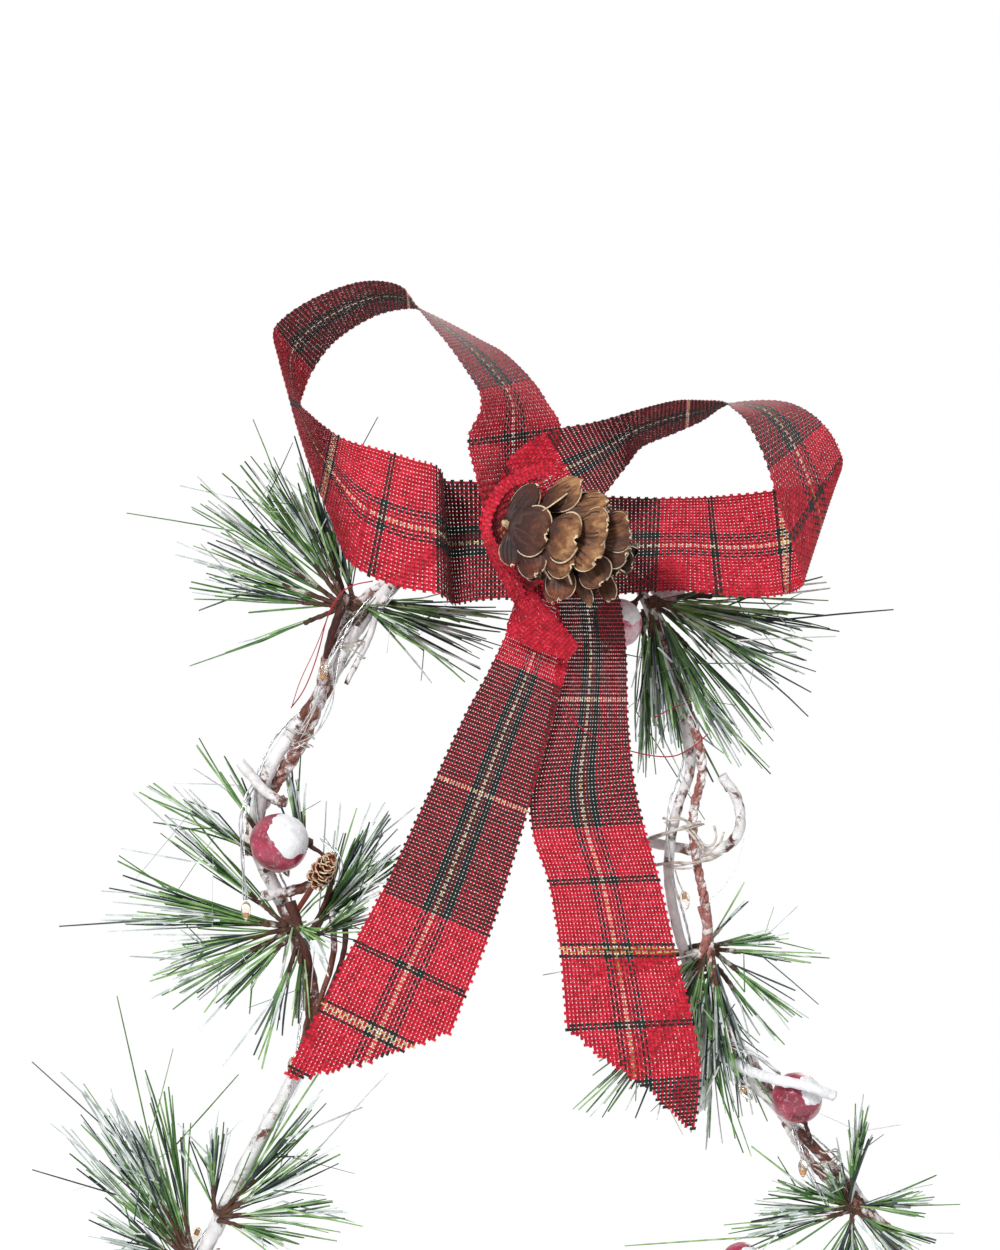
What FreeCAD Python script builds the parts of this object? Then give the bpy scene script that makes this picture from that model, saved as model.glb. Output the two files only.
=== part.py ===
"""Tree-shaped table decoration: a wound vine frame on a log base, with pine sprigs, berries,
a tartan bow, a string of small lamps and the battery box that feeds it. Millimetres, +Z up,
origin at the middle of the resting face, front towards -Y."""
import FreeCAD
import Part
import math
import os
import random
from FreeCAD import Vector
import Sketcher

os.makedirs("parts", exist_ok=True)
doc = FreeCAD.newDocument("led_christmas_tree")

# Driving dimensions
SIZES = [
    ("tree_tall", 600, "resting face to the top of the bow"),
    ("view_distance", 1600, "eye to the plane of the tree, for places read in the picture"),
    ("vine_thick", 4.8, "left main vine"),
    ("stem_thick", 3.6, "right main vine and the loose tendrils"),
    ("rope_thick", 3.2, "twisted paper rope along the vines"),
    ("twist_pitch", 90, "one turn of the wound things round a vine"),
    ("twist_step", 8, "from place to place on a wound thing"),
    ("trim_gap", 0.5, "clear space between things that lie side by side"),
    ("base_wide", 160, "log slice, across"),
    ("base_thick", 18, "log slice"),
    ("bark_chamfer", 2, "edge of the log slice"),
    ("felt_wide", 136, "felt disc under the slice"),
    ("felt_thick", 2, "felt disc"),
    ("trunk_wide", 18, "trunk branch"),
    ("trunk_over", 17, "trunk above the middle of the bough"),
    ("socket_deep", 10, "trunk inside the slice"),
    ("screw_thick", 4, "wood screw shank"),
    ("screw_long", 26, "wood screw"),
    ("screw_head_wide", 8, "wood screw head"),
    ("screw_head_deep", 2.6, "wood screw head"),
    ("fit_gap", 0.1, "radial room of a seated piece"),
    ("wrap_thick", 2.4, "paper rope wound on the trunk"),
    ("wrap_pitch", 3.2, "paper rope wound on the trunk"),
    ("wrap_rise", 6, "first turn above the slice"),
    ("berry_wide", 18, "largest berry"),
    ("berry_stem_thick", 1.4, "wire stem of a berry"),
    ("sprig_stem_thick", 1.8, "wire stem of a pine sprig"),
    ("needle_thick", 0.9, "pine needle at its root"),
    ("needle_long", 38, "longest pine needle"),
    ("cone_long", 42, "pinecone"),
    ("cone_wide", 41, "pinecone across the open scales"),
    ("cone_core_wide", 15, "woody core of the pinecone"),
    ("scale_wide", 15, "cone scale"),
    ("scale_thick", 0.8, "cone scale"),
    ("small_cone_long", 14, "alder cone"),
    ("small_cone_wide", 9, "alder cone"),
    ("ribbon_wide", 40, "tartan ribbon"),
    ("ribbon_thick", 0.5, "tartan ribbon"),
    ("bow_tie_thick", 0.9, "wire that holds the bow on"),
    ("lamp_wire_thick", 0.9, "string of lamps"),
    ("lamp_long", 6.4, "drop of resin round a lamp"),
    ("lamp_wide", 3.4, "drop of resin round a lamp"),
    ("lead_thick", 1.8, "lead from the battery box"),
    ("splice_long", 12, "sleeve where the lead meets the strings"),
    ("splice_wide", 4, "sleeve where the lead meets the strings"),
    ("cell_wide", 14.2, "AA cell"),
    ("cell_long", 49.2, "AA cell without its button"),
    ("button_wide", 5.2, "button of a cell"),
    ("button_long", 1.3, "button of a cell"),
    ("cell_gap", 0.4, "room round a cell"),
    ("spring_room", 6, "room for a contact spring"),
    ("spring_thick", 0.6, "contact spring wire"),
    ("spring_wide", 7, "contact spring across its turns"),
    ("plate_thick", 0.4, "contact plate"),
    ("plate_wide", 10, "contact plate"),
    ("box_wall", 1.8, "battery box wall"),
    ("switch_bay_long", 19, "bay beside the cells"),
    ("lid_thick", 2, "battery lid"),
    ("tongue_deep", 0.9, "lid tongue inside its groove"),
    ("tongue_thick", 0.9, "lid tongue"),
    ("slide_gap", 0.2, "room round a sliding piece"),
    ("grip_thick", 0.7, "raised bars on the lid"),
    ("grip_wide", 1.2, "raised bars on the lid"),
    ("grip_long", 18, "raised bars on the lid"),
    ("tape_thick", 1, "foam tape under the battery box"),
    ("tape_inset", 2, "foam tape from the edge of the box"),
    ("board_thick", 1.2, "timer board"),
    ("chip_wide", 5, "timer chip"),
    ("chip_thick", 1.5, "timer chip"),
    ("switch_long", 8.6, "switch body"),
    ("switch_deep", 5, "switch body"),
    ("switch_tall", 4, "switch body"),
    ("knob_long", 3.4, "switch knob along its travel"),
    ("knob_deep", 2.6, "switch knob"),
    ("knob_rise", 2.2, "switch knob above the box"),
    ("knob_throw", 2, "switch knob to each side"),
    ("grommet_wide", 5.4, "flange of the lead grommet"),
    ("grommet_hole", 3.6, "hole for the lead grommet"),
    ("grommet_flange", 1, "flange of the lead grommet"),
    ("overrun", 1, "cuts run past a face by this"),
]
sheet = doc.addObject("Spreadsheet::Sheet", "sizes")
for row, (alias, value, note) in enumerate(SIZES, 1):
    sheet.set(f"A{row}", alias)
    sheet.set(f"B{row}", str(value))
    sheet.setAlias(f"B{row}", alias)
    sheet.set(f"C{row}", note)
doc.recompute()


def size(alias):
    """One driving dimension, from the sheet."""
    return float(sheet.get(alias))


# Places read in the picture
# The picture's frame is 1000 by 1250 pixels. Rows below 1250 run on under its lower edge,
# where the lower half of the tree is a guess that repeats what the picture shows.
VIEW_PIXEL = (500, 625)
TREE_PIXEL = 525
TOP_PIXEL = 285
FLOOR_PIXEL = 2160
BOUGH_PIXEL = 1914
PIXEL = size("tree_tall") / (FLOOR_PIXEL - TOP_PIXEL)
BOUGH_HEIGHT = (FLOOR_PIXEL - BOUGH_PIXEL) * PIXEL


def spot(across, down, depth=0):
    """The point that the picture shows at a pixel, at a depth behind the plane of the tree."""
    near = 1 + depth / size("view_distance")
    x = (VIEW_PIXEL[0] - TREE_PIXEL + (across - VIEW_PIXEL[0]) * near) * PIXEL
    z = (FLOOR_PIXEL - VIEW_PIXEL[1] + (VIEW_PIXEL[1] - down) * near) * PIXEL
    return Vector(x, depth, z)


def spots(rows, unit):
    """Points for rows of pixel across, pixel down and depth in a share of the unit."""
    return [spot(across, down, share * unit) for across, down, share in rows]


# Tubes
RUN_SHARE = 0.45
STRAIGHT = math.radians(0.4)


def rounded_wire(points):
    """Straight runs joined by tangent arcs as large as the runs allow."""
    edges = []
    start = points[0]
    for before, corner, after in zip(points, points[1:], points[2:]):
        come = (corner - before).normalize()
        leave = (after - corner).normalize()
        turn = come.getAngle(leave)
        if turn < STRAIGHT:
            continue
        trim = RUN_SHARE * min((corner - before).Length, (after - corner).Length)
        radius = trim / math.tan(turn / 2)
        inward = (leave - come).normalize()
        middle = corner + inward * (radius / math.cos(turn / 2) - radius)
        enter = corner - come * trim
        leave_at = corner + leave * trim
        edges.append(Part.LineSegment(start, enter).toShape())
        edges.append(Part.Arc(enter, middle, leave_at).toShape())
        start = leave_at
    edges.append(Part.LineSegment(start, points[-1]).toShape())
    return Part.Wire(edges)


def sweep(path, thick):
    """A round tube along a wire."""
    first = path.OrderedEdges[0]
    start = first.valueAt(first.FirstParameter)
    ring = Part.Wire([Part.Circle(start, first.tangentAt(first.FirstParameter), thick / 2).toShape()])
    return path.makePipeShell([ring], True, False)


def tube(points, thick):
    """A round tube along points."""
    return sweep(rounded_wire(points), thick)


def marks_on(points, step):
    """Evenly spaced places on the rounded path, each with its direction and its distance."""
    wire = rounded_wire(points)
    count = max(2, int(wire.Length / step))
    places = wire.discretize(Number=count + 1)
    found = []
    for index, place in enumerate(places):
        before = places[max(index - 1, 0)]
        after = places[min(index + 1, count)]
        found.append((place, (after - before).normalize(), wire.Length * index / count))
    return found


def outward(mark, phase_share):
    """The side of a vine that a wound thing lies on at a mark. All turn with one pitch."""
    place, heading, distance = mark
    angle = 2 * math.pi * (phase_share + distance / size("twist_pitch"))
    side = heading.cross(Vector(0, 1, 0)).normalize()
    return side * math.cos(angle) + Vector(0, 1, 0) * math.sin(angle)


def companion(marks, reach, phase_share, first_share=0, last_share=1):
    """A path that winds round a vine at a distance, between two shares of its length."""
    full = marks[-1][2]
    return [mark[0] + outward(mark, phase_share) * reach for mark in marks
            if first_share * full <= mark[2] <= last_share * full]


TINY = 1e-9


def biarc(start, out, end, into):
    """Two tangent arcs between two points with given directions."""
    gap = end - start
    both = out + into
    square = 2 * (1 - out.dot(into))
    if square < TINY:
        reach = gap.dot(gap) / (4 * gap.dot(into))
    else:
        dot = gap.dot(both)
        reach = (math.sqrt(dot * dot + square * gap.dot(gap)) - dot) / square
    first_corner = start + out * reach
    last_corner = end - into * reach
    joint = (first_corner + last_corner) * 0.5
    arcs = []
    for begin, corner, finish in ((start, first_corner, joint), (joint, last_corner, end)):
        come = (corner - begin).normalize()
        leave = (finish - corner).normalize()
        half = come.getAngle(leave) / 2
        if half < STRAIGHT:
            arcs.append(Part.LineSegment(begin, finish).toShape())
            continue
        radius = (corner - begin).Length / math.tan(half)
        middle = corner + (leave - come).normalize() * (radius / math.cos(half) - radius)
        arcs.append(Part.Arc(begin, middle, finish).toShape())
    return arcs


QUARTERS = 4
LEAN_LIMIT = 0.87


def winding(centre, axis, radius, pitch, turns, thick):
    """A wire wound round an axis, as one tube on biarcs of a quarter turn."""
    axis = Vector(axis).normalize()
    side = axis.cross(Vector(0, 1, 0))
    if abs(axis.y) > LEAN_LIMIT:
        side = axis.cross(Vector(1, 0, 0))
    side.normalize()
    up = axis.cross(side)
    marks = []
    for step in range(int(turns * QUARTERS) + 1):
        angle = 2 * math.pi * step / QUARTERS
        rise = pitch * (step / QUARTERS - turns / 2)
        place = centre + (side * math.cos(angle) + up * math.sin(angle)) * radius + axis * rise
        heading = (up * math.cos(angle) - side * math.sin(angle)) * radius + axis * (pitch / (2 * math.pi))
        marks.append((place, heading.normalize()))
    edges = []
    for (start, out), (end, into) in zip(marks, marks[1:]):
        edges += biarc(start, out, end, into)
    print("winding: least gap between turns", round(pitch - thick, 2))
    return sweep(Part.Wire(edges), thick)


# Pieces
NODES = []


def piece(name, shape):
    """A sub-part whose shape is computed."""
    item = doc.addObject("Part::Feature", name)
    item.Label = name
    item.Shape = shape
    NODES.append(item)
    return item


# Places that are taken
def segment_gap(a, b, c, d):
    """The least distance between two straight segments."""
    u, v, w = b - a, d - c, a - c
    uu, uv, vv, uw, vw = u.dot(u), u.dot(v), v.dot(v), u.dot(w), v.dot(w)
    spread = uu * vv - uv * uv
    if vv < TINY:
        s = min(1, max(0, -uw / uu))
        return (a + u * s - c).Length
    s = min(1, max(0, (uv * vw - vv * uw) / spread)) if spread > TINY else 0
    t = (uv * s + vw) / vv
    if t < 0 or t > 1:
        t = min(1, max(0, t))
        s = min(1, max(0, (uv * t - uw) / uu)) if uu > TINY else 0
    return (a + u * s - c - v * t).Length


# Straight pieces of everything that later pieces keep clear of, as ends and radius
taken = []
ROOM_LOOKED_AT = 3


def keep_clear(points, radius):
    taken.extend((a, b, radius) for a, b in zip(points, points[1:]))


def least_room(start, end, radius):
    """The least clear space round a straight piece, from everything taken so far."""
    low = [min(p, q) - ROOM_LOOKED_AT for p, q in zip(start, end)]
    high = [max(p, q) + ROOM_LOOKED_AT for p, q in zip(start, end)]
    room = ROOM_LOOKED_AT
    for a, b, thick in taken:
        if all(min(p, q) - thick < h and max(p, q) + thick > l for p, q, l, h in zip(a, b, low, high)):
            room = min(room, segment_gap(start, end, a, b) - thick - radius)
    return room


# Vines
LEFT_VINE_PIXELS = [
    (562, 497, 1.3), (505, 518, 1.3), (450, 545, 1.0), (398, 577, 0.6), (352, 632, 0), (326, 690, 0),
    (286, 738, 0), (258, 790, 0), (254, 848, 0), (281, 900, 0), (305, 955, 0.2), (316, 1010, 0.3),
    (300, 1070, 0.3), (253, 1150, 0.1), (214, 1232, 0), (178, 1305, 0), (140, 1372, 0), (126, 1440, 0),
    (155, 1505, 0), (200, 1565, 0), (205, 1638, 0), (162, 1722, 0), (104, 1800, 0), (68, 1856, 0),
    (70, 1890, 0), (98, 1914, 0), (160, 1922, 0), (270, 1910, 0), (390, 1917, 0), (470, 1914, 0),
]
RIGHT_VINE_PIXELS = [
    (514, 507, 0), (568, 520, 0), (618, 555, 0), (653, 610, 0), (676, 690, 0), (696, 762, 0),
    (674, 812, 0), (666, 880, 0), (684, 955, 0), (704, 1012, 0), (742, 1070, 0), (798, 1130, 0),
    (840, 1175, 0), (885, 1228, 0), (922, 1300, 0), (950, 1372, 0), (958, 1440, 0), (928, 1505, 0),
    (884, 1565, 0), (872, 1638, 0), (908, 1722, 0), (962, 1800, 0), (994, 1856, 0), (992, 1890, 0),
    (964, 1914, 0), (900, 1921, 0), (790, 1909, 0), (670, 1917, 0), (585, 1914, 0),
]
VINE = size("vine_thick")
STEM = size("stem_thick")
ROPE = size("rope_thick")
GAP = size("trim_gap")
bough_middle = Vector(0, 0, BOUGH_HEIGHT)
left_path = spots(LEFT_VINE_PIXELS, VINE) + [bough_middle - Vector(GAP, 0, 0)]
right_path = spots(RIGHT_VINE_PIXELS, VINE) + [bough_middle + Vector(GAP, 0, 0)]
for name, path, thick in (("left_vine", left_path, VINE), ("right_vine", right_path, STEM)):
    piece(name, tube(path, thick))
    keep_clear(rounded_wire(path).discretize(Distance=size("twist_step") / 2), thick / 2)

# Twisted paper rope beside the vines
# The lamp wire and the rope lie on opposite sides of a vine, and what is seated on the vine
# takes one of the two sides between them.
LEFT_PHASE_SHARE = 0.1
RIGHT_PHASE_SHARE = 0.19
left_marks = marks_on(left_path, size("twist_step"))
right_marks = marks_on(right_path, size("twist_step"))
ROPE_GAPS = 1.6
LEFT_ROPE_SHARES = (0.075, 0.245)
LEFT_LOW_SHARES = (0.43, 0.7)
RIGHT_LOW_SHARES = (0.315, 0.72)
left_reach = (VINE + ROPE) / 2 + ROPE_GAPS * GAP
right_reach = (STEM + ROPE) / 2 + ROPE_GAPS * GAP
left_rope_path = companion(left_marks, left_reach, LEFT_PHASE_SHARE + 0.5, *LEFT_ROPE_SHARES)
left_low_path = companion(left_marks, left_reach, LEFT_PHASE_SHARE + 0.5, *LEFT_LOW_SHARES)
right_low_path = companion(right_marks, right_reach, RIGHT_PHASE_SHARE + 0.5, *RIGHT_LOW_SHARES)
RIGHT_ROPE_PIXELS = [
    (664, 640, -1.0), (690, 712, -1.0), (706, 768, -0.8), (691, 812, -0.8), (696, 862, -0.6),
    (706, 905, -0.6), (710, 950, -0.8), (712, 990, -1.0), (736, 1050, -1.0),
]
right_rope_path = spots(RIGHT_ROPE_PIXELS, VINE)
for name, path in (("left_rope", left_rope_path), ("left_low_rope", left_low_path),
                   ("right_rope", right_rope_path), ("right_low_rope", right_low_path)):
    piece(name, tube(path, ROPE))
    keep_clear(path, ROPE / 2)

# Loose tendrils
TENDRIL_PIXELS = {
    "right_curl": [(640, 842, 0.95), (668, 845, 0.95), (702, 853, 0.9), (728, 848, 0.7), (740, 832, 0.3),
                   (741, 812, 0), (735, 793, -0.3), (722, 776, -0.6)],
    "right_tendril": [(694, 1036, -0.8), (722, 1057, -0.76), (744, 1069, -0.84), (757, 1074, -1.6),
                      (776, 1080, -3.7), (808, 1086, -4.7),
                      (834, 1096, -4.0)],
    "left_spur": [(258, 897, -0.98), (290, 892, -0.98), (314, 884, -1.1)],
    "left_tendril": [(240, 762, -1.12), (262, 789, -1.2), (276, 800, -1.5), (286, 803, -1.7)],
}
for name, rows in TENDRIL_PIXELS.items():
    piece(name, tube(spots(rows, VINE), STEM))
    keep_clear(spots(rows, VINE), STEM / 2)

# Log base, felt, trunk and screw
FELT_TOP = "sizes.felt_thick"
SLAB_TOP = "(sizes.felt_thick + sizes.base_thick)"


def origin_plane(body, role):
    """One of a body's own origin planes."""
    for feature in body.Origin.OriginFeatures:
        if feature.Role == role:
            return feature
    raise ValueError(role)


def new_body(name):
    body = doc.addObject("PartDesign::Body", name)
    body.Label = name
    NODES.append(body)
    return body


def new_sketch(body, name, role, offset=None):
    sketch = body.newObject("Sketcher::SketchObject", name)
    sketch.AttachmentSupport = [(origin_plane(body, role), "")]
    sketch.MapMode = "FlatFace"
    if offset:
        sketch.setExpression("AttachmentOffset.Base.z", offset)
    return sketch


def disc_sketch(body, name, offset, wide, role="XY_Plane"):
    """A circle round the body's axis."""
    sketch = new_sketch(body, name, role, offset)
    sketch.addGeometry(Part.Circle(Vector(0, 0, 0), Vector(0, 0, 1), 1), False)
    sketch.addConstraint(Sketcher.Constraint("Coincident", 0, 3, -1, 1))
    at = sketch.addConstraint(Sketcher.Constraint("Diameter", 0, 2))
    sketch.setExpression(f"Constraints[{at}]", wide)
    return sketch


def feature(body, kind, name, sketch, length=None, backwards=False):
    """A pad or pocket."""
    item = body.newObject(f"PartDesign::{kind}", name)
    item.Profile = sketch
    if length:
        item.setExpression("Length", length)
    else:
        item.Type = "ThroughAll"
    item.Reversed = backwards
    return item


slab = new_body("base_slab")
slab_disc = disc_sketch(slab, "slab_outline", FELT_TOP, "sizes.base_wide")
slab_pad = feature(slab, "Pad", "slab_pad", slab_disc, "sizes.base_thick")
doc.recompute()
bark_edge = slab.newObject("PartDesign::Chamfer", "bark_edge")
slab_rims = [f"Edge{n}" for n, edge in enumerate(slab_pad.Shape.Edges, 1) if edge.Closed]
bark_edge.Base = (slab_pad, slab_rims)
bark_edge.setExpression("Size", "sizes.bark_chamfer")
socket = disc_sketch(slab, "socket_outline", SLAB_TOP, "sizes.trunk_wide + 2 * sizes.fit_gap")
feature(slab, "Pocket", "trunk_socket", socket, "sizes.socket_deep")
shank = disc_sketch(slab, "shank_outline", SLAB_TOP, "sizes.screw_thick + 2 * sizes.fit_gap")
feature(slab, "Pocket", "screw_hole", shank)
sink = disc_sketch(slab, "sink_outline", FELT_TOP, "sizes.screw_head_wide + 2 * sizes.fit_gap")
feature(slab, "Pocket", "screw_sink", sink, "sizes.screw_head_deep + sizes.fit_gap", True)

felt = new_body("base_felt")
felt_disc = disc_sketch(felt, "felt_outline", None, "sizes.felt_wide")
feature(felt, "Pad", "felt_pad", felt_disc, "sizes.felt_thick")

TRUNK_FOOT = f"({SLAB_TOP} - sizes.socket_deep)"
trunk = new_body("trunk_stem")
trunk_disc = disc_sketch(trunk, "trunk_outline", TRUNK_FOOT, "sizes.trunk_wide")
bough_height = f"({FLOOR_PIXEL - BOUGH_PIXEL} * sizes.tree_tall / {FLOOR_PIXEL - TOP_PIXEL})"
feature(trunk, "Pad", "trunk_pad", trunk_disc, f"{bough_height} + sizes.trunk_over - {TRUNK_FOOT}")
pilot = disc_sketch(trunk, "pilot_outline", TRUNK_FOOT, "sizes.screw_thick + 2 * sizes.fit_gap")
feature(trunk, "Pocket", "screw_pilot", pilot, "sizes.screw_long", True)
cross = new_sketch(trunk, "cross_outline", "YZ_Plane", "sizes.trunk_wide")
cross.addGeometry(Part.Circle(Vector(0, BOUGH_HEIGHT, 0), Vector(0, 0, 1), VINE / 2), False)
cross.addConstraint(Sketcher.Constraint("PointOnObject", 0, 3, -2))
cross_at = cross.addConstraint(Sketcher.Constraint("DistanceY", -1, 1, 0, 3, BOUGH_HEIGHT))
cross.setExpression(f"Constraints[{cross_at}]", bough_height)
cross_wide = cross.addConstraint(Sketcher.Constraint("Diameter", 0, VINE + GAP))
cross.setExpression(f"Constraints[{cross_wide}]", "sizes.vine_thick + sizes.trim_gap")
feature(trunk, "Pocket", "vine_bore", cross)


def turned(body, name, rows):
    """A body turned round Z from corners of radius and height, both as expressions."""
    sketch = new_sketch(body, name, "XZ_Plane")
    doc.recompute()
    probe = doc.addObject("Part::Feature", "probe")
    probe.addProperty("App::PropertyFloat", "number")
    corners = []
    for radius, height in rows:
        probe.setExpression("number", radius)
        doc.recompute()
        across = probe.number
        probe.setExpression("number", height)
        doc.recompute()
        corners.append(Vector(across, probe.number, 0))
    doc.removeObject(probe.Name)
    count = len(corners)
    for index, corner in enumerate(corners):
        sketch.addGeometry(Part.LineSegment(corner, corners[(index + 1) % count]), False)
    for index in range(count):
        sketch.addConstraint(Sketcher.Constraint("Coincident", index, 2, (index + 1) % count, 1))
    for index, ((radius, height), corner) in enumerate(zip(rows, corners)):
        for kind, value, text in (("DistanceX", corner.x, radius), ("DistanceY", corner.y, height)):
            at = sketch.addConstraint(Sketcher.Constraint(kind, -1, 1, index, 1, value))
            sketch.setExpression(f"Constraints[{at}]", text)
    spin = body.newObject("PartDesign::Revolution", name + "_turn")
    spin.Profile = sketch
    spin.ReferenceAxis = (sketch, ["V_Axis"])
    spin.Angle = 360
    return spin


screw = new_body("trunk_screw")
turned(screw, "screw_outline", [
    ("0", FELT_TOP),
    ("sizes.screw_head_wide / 2", FELT_TOP),
    ("sizes.screw_thick / 2", f"{FELT_TOP} + sizes.screw_head_deep"),
    ("sizes.screw_thick / 2", f"{FELT_TOP} + sizes.screw_long - sizes.screw_thick"),
    ("0", f"{FELT_TOP} + sizes.screw_long"),
])

SLAB_HEIGHT = size("felt_thick") + size("base_thick")
WRAP_TURNS = 5
wrap_radius = size("trunk_wide") / 2 + size("wrap_thick") / 2 + GAP / 2
wrap_height = SLAB_HEIGHT + size("wrap_rise") + size("wrap_pitch") * WRAP_TURNS / 2
wrap_centre = Vector(0, 0, wrap_height)
piece("trunk_wrap", winding(wrap_centre, Vector(0, 0, 1), wrap_radius, size("wrap_pitch"), WRAP_TURNS,
                            size("wrap_thick")))

keep_clear([Vector(0, 0, 0), bough_middle + Vector(0, 0, size("trunk_over"))], size("trunk_wide") / 2)

# Seats on the vines
SEAT_STEP_SHARE = 0.3
SEAT_ROOM_SHARE = 0.9
SEAT_SIDE_SHARES = (0.25, 0.75)
SEAT_SLIP = 14
SEAT_LEAST = 0.05
ROOM_WEIGHT = 20
BERRY_STEM = size("berry_stem_thick")
seats = {
    "left": (marks_on(left_path, size("twist_step") * SEAT_STEP_SHARE), VINE, LEFT_PHASE_SHARE),
    "right": (marks_on(right_path, size("twist_step") * SEAT_STEP_SHARE), STEM, RIGHT_PHASE_SHARE),
}


def seat(vine, across, down, thick, reach):
    """Where a stem that comes from a point meets a vine near a pixel, on a free side, in the clear."""
    marks, main, phase_share = seats[vine]
    aim = spot(across, down)
    away = main / 2 + GAP * SEAT_ROOM_SHARE
    nearest = min((mark[0] - aim).Length for mark in marks)
    best = None
    for mark in marks:
        slip = (mark[0] - aim).Length - nearest
        if slip > SEAT_SLIP:
            continue
        for side_share in SEAT_SIDE_SHARES:
            side = outward(mark, phase_share + side_share)
            foot = mark[0] + side * away
            turn = foot + side * (2 * BERRY_STEM)
            room = least_room(turn, reach, thick / 2)
            score = slip / SEAT_SLIP + ROOM_WEIGHT * max(0, GAP / 2 - room)
            if best is None or score < best[0]:
                best = (score, foot, side, turn, room)
    if best[-1] < SEAT_LEAST:
        print("seat with little room:", vine, across, down, round(best[-1], 2))
    return best[1:4]


# Bow
# Each row is the pixel of the ribbon's near edge and of its far edge, and the depth of its
# middle as a share of the ribbon's width. The near edge is turned towards the eye by as much
# as the picture shows the ribbon narrower than it is.
LOOP_PIXELS = [
    (496, 558, 545, 478, -0.55), (478, 484, 552, 470, -0.48), (469, 440, 561, 424, -0.54),
    (481, 412, 548, 400, -0.6), (480, 395, 535, 380, -0.65), (466, 372, 505, 350, -0.68),
    (449, 348, 480, 336, -0.68),
    (428, 323, 442, 316, -0.68), (416, 308, 416, 305, -0.68), (403, 291, 402, 305, -0.68),
    (370, 285, 376, 311, -0.68), (327, 297, 344, 329, -0.68), (290, 318, 325, 346, -0.68),
    (276, 334, 308, 372, -0.68), (281, 362, 301, 390, -0.68), (290, 395, 298, 402, -0.68),
    (300, 432, 306, 410, -0.68), (315, 478, 322, 424, -0.72), (331, 518, 344, 438, -0.8),
    (350, 562, 376, 448, -0.85), (398, 588, 413, 458, -0.85), (438, 597, 436, 463, -0.8),
    (448, 601, 442, 472, -0.72), (456, 604, 443, 480, -0.48), (480, 600, 480, 481, -0.38),
    (545, 598, 545, 488, -0.36), (610, 595, 610, 496, -0.36), (676, 591, 684, 497, -0.36),
    (742, 597, 728, 495, -0.36), (780, 595, 772, 490, -0.4), (801, 586, 838, 476, -0.46),
    (794, 556, 845, 460, -0.56), (781, 519, 842, 447, -0.64), (772, 489, 833, 430, -0.68),
    (757, 447, 816, 412, -0.68), (741, 420, 792, 400, -0.68), (730, 411, 757, 398, -0.68),
    (722, 405, 728, 403, -0.68), (700, 403, 705, 418, -0.68), (675, 403, 676, 431, -0.68),
    (640, 411, 645, 444, -0.66),
]
LOOP_END_PIXELS = [
    (606, 419, 628, 464, -0.88, -0.44), (585, 424, 614, 482, -0.74, -0.54), (561, 428, 602, 497, -0.7, -0.58),
    (538, 436, 584, 510, -0.7, -0.62), (507, 461, 545, 525, -0.74, -0.68), (499, 480, 522, 534, -0.8, -0.76),
]
RIBBON = size("ribbon_wide")
CLOTH = size("ribbon_thick")


def turned_edges(rows):
    """Near and far edge points of a ribbon that keeps its whole width."""
    found = []
    for near_across, near_down, far_across, far_down, depth_share in rows:
        depth = depth_share * RIBBON
        near = spot(near_across, near_down, depth)
        far = spot(far_across, far_down, depth)
        middle = (near + far) * 0.5
        shown = min((far - near).Length, RIBBON)
        half = (far - near).normalize() * (shown / 2)
        turn = Vector(0, math.sqrt(RIBBON ** 2 - shown ** 2) / 2, 0)
        found.append((middle - half - turn, middle + half + turn))
    return found


def straight_edges(rows):
    """Edge points of a ribbon with a depth for each edge, as shares of its width."""
    return [(spot(a, b, near * RIBBON), spot(c, d, far * RIBBON)) for a, b, c, d, near, far in rows]


def ribbon(edges):
    """A thin solid of cloth through pairs of edge points, ruled from pair to pair."""
    middles = [(near + far) * 0.5 for near, far in edges]
    frames = []
    for index, (near, far) in enumerate(edges):
        before = middles[max(index - 1, 0)]
        after = middles[min(index + 1, len(middles) - 1)]
        normal = (far - near).cross(after - before).normalize() * (CLOTH / 2)
        frames.append((near + normal, far + normal, far - normal, near - normal))
    wires = [Part.makePolygon(list(frame) + [frame[0]]) for frame in frames]
    return Part.makeLoft(wires, True, True)


RIBBON_LINES = 5


def keep_ribbon_clear(edges):
    for line in range(RIBBON_LINES):
        share = line / (RIBBON_LINES - 1)
        keep_clear([near + (far - near) * share for near, far in edges], RIBBON / RIBBON_LINES / 2)


LEFT_TAIL_PIXELS = [
    (522, 576, 552, 582, -0.72, -0.66), (520, 596, 556, 612, -0.76, -0.68), (513, 618, 578, 648, -0.8, -0.7),
    (490, 668, 566, 672, -0.82, -0.68), (465, 715, 548, 740, -0.82, -0.66),
    (430, 790, 531, 798, -0.8, -0.66), (385, 885, 512, 870, -0.74, -0.66), (345, 960, 486, 945, -0.7, -0.62),
    (285, 1075, 455, 1025, -0.66, -0.58),
]
RIGHT_TAIL_PIXELS = [
    (560, 578, 612, 578, -0.575, -0.615), (556, 600, 620, 600, -0.655, -0.72),
    (558, 650, 626, 650, -0.64, -0.66),
    (548, 720, 628, 720, -0.61, -0.56), (530, 790, 634, 780, -0.6, -0.5), (533, 835, 645, 830, -0.58, -0.46),
    (548, 880, 658, 875, -0.56, -0.46), (560, 950, 675, 950, -0.54, -0.46),
    (567, 1030, 693, 1024, -0.52, -0.46), (620, 1083, 697, 1062, -0.5, -0.46),
    (684, 1146, 690, 1143, -0.47, -0.465),
]
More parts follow.
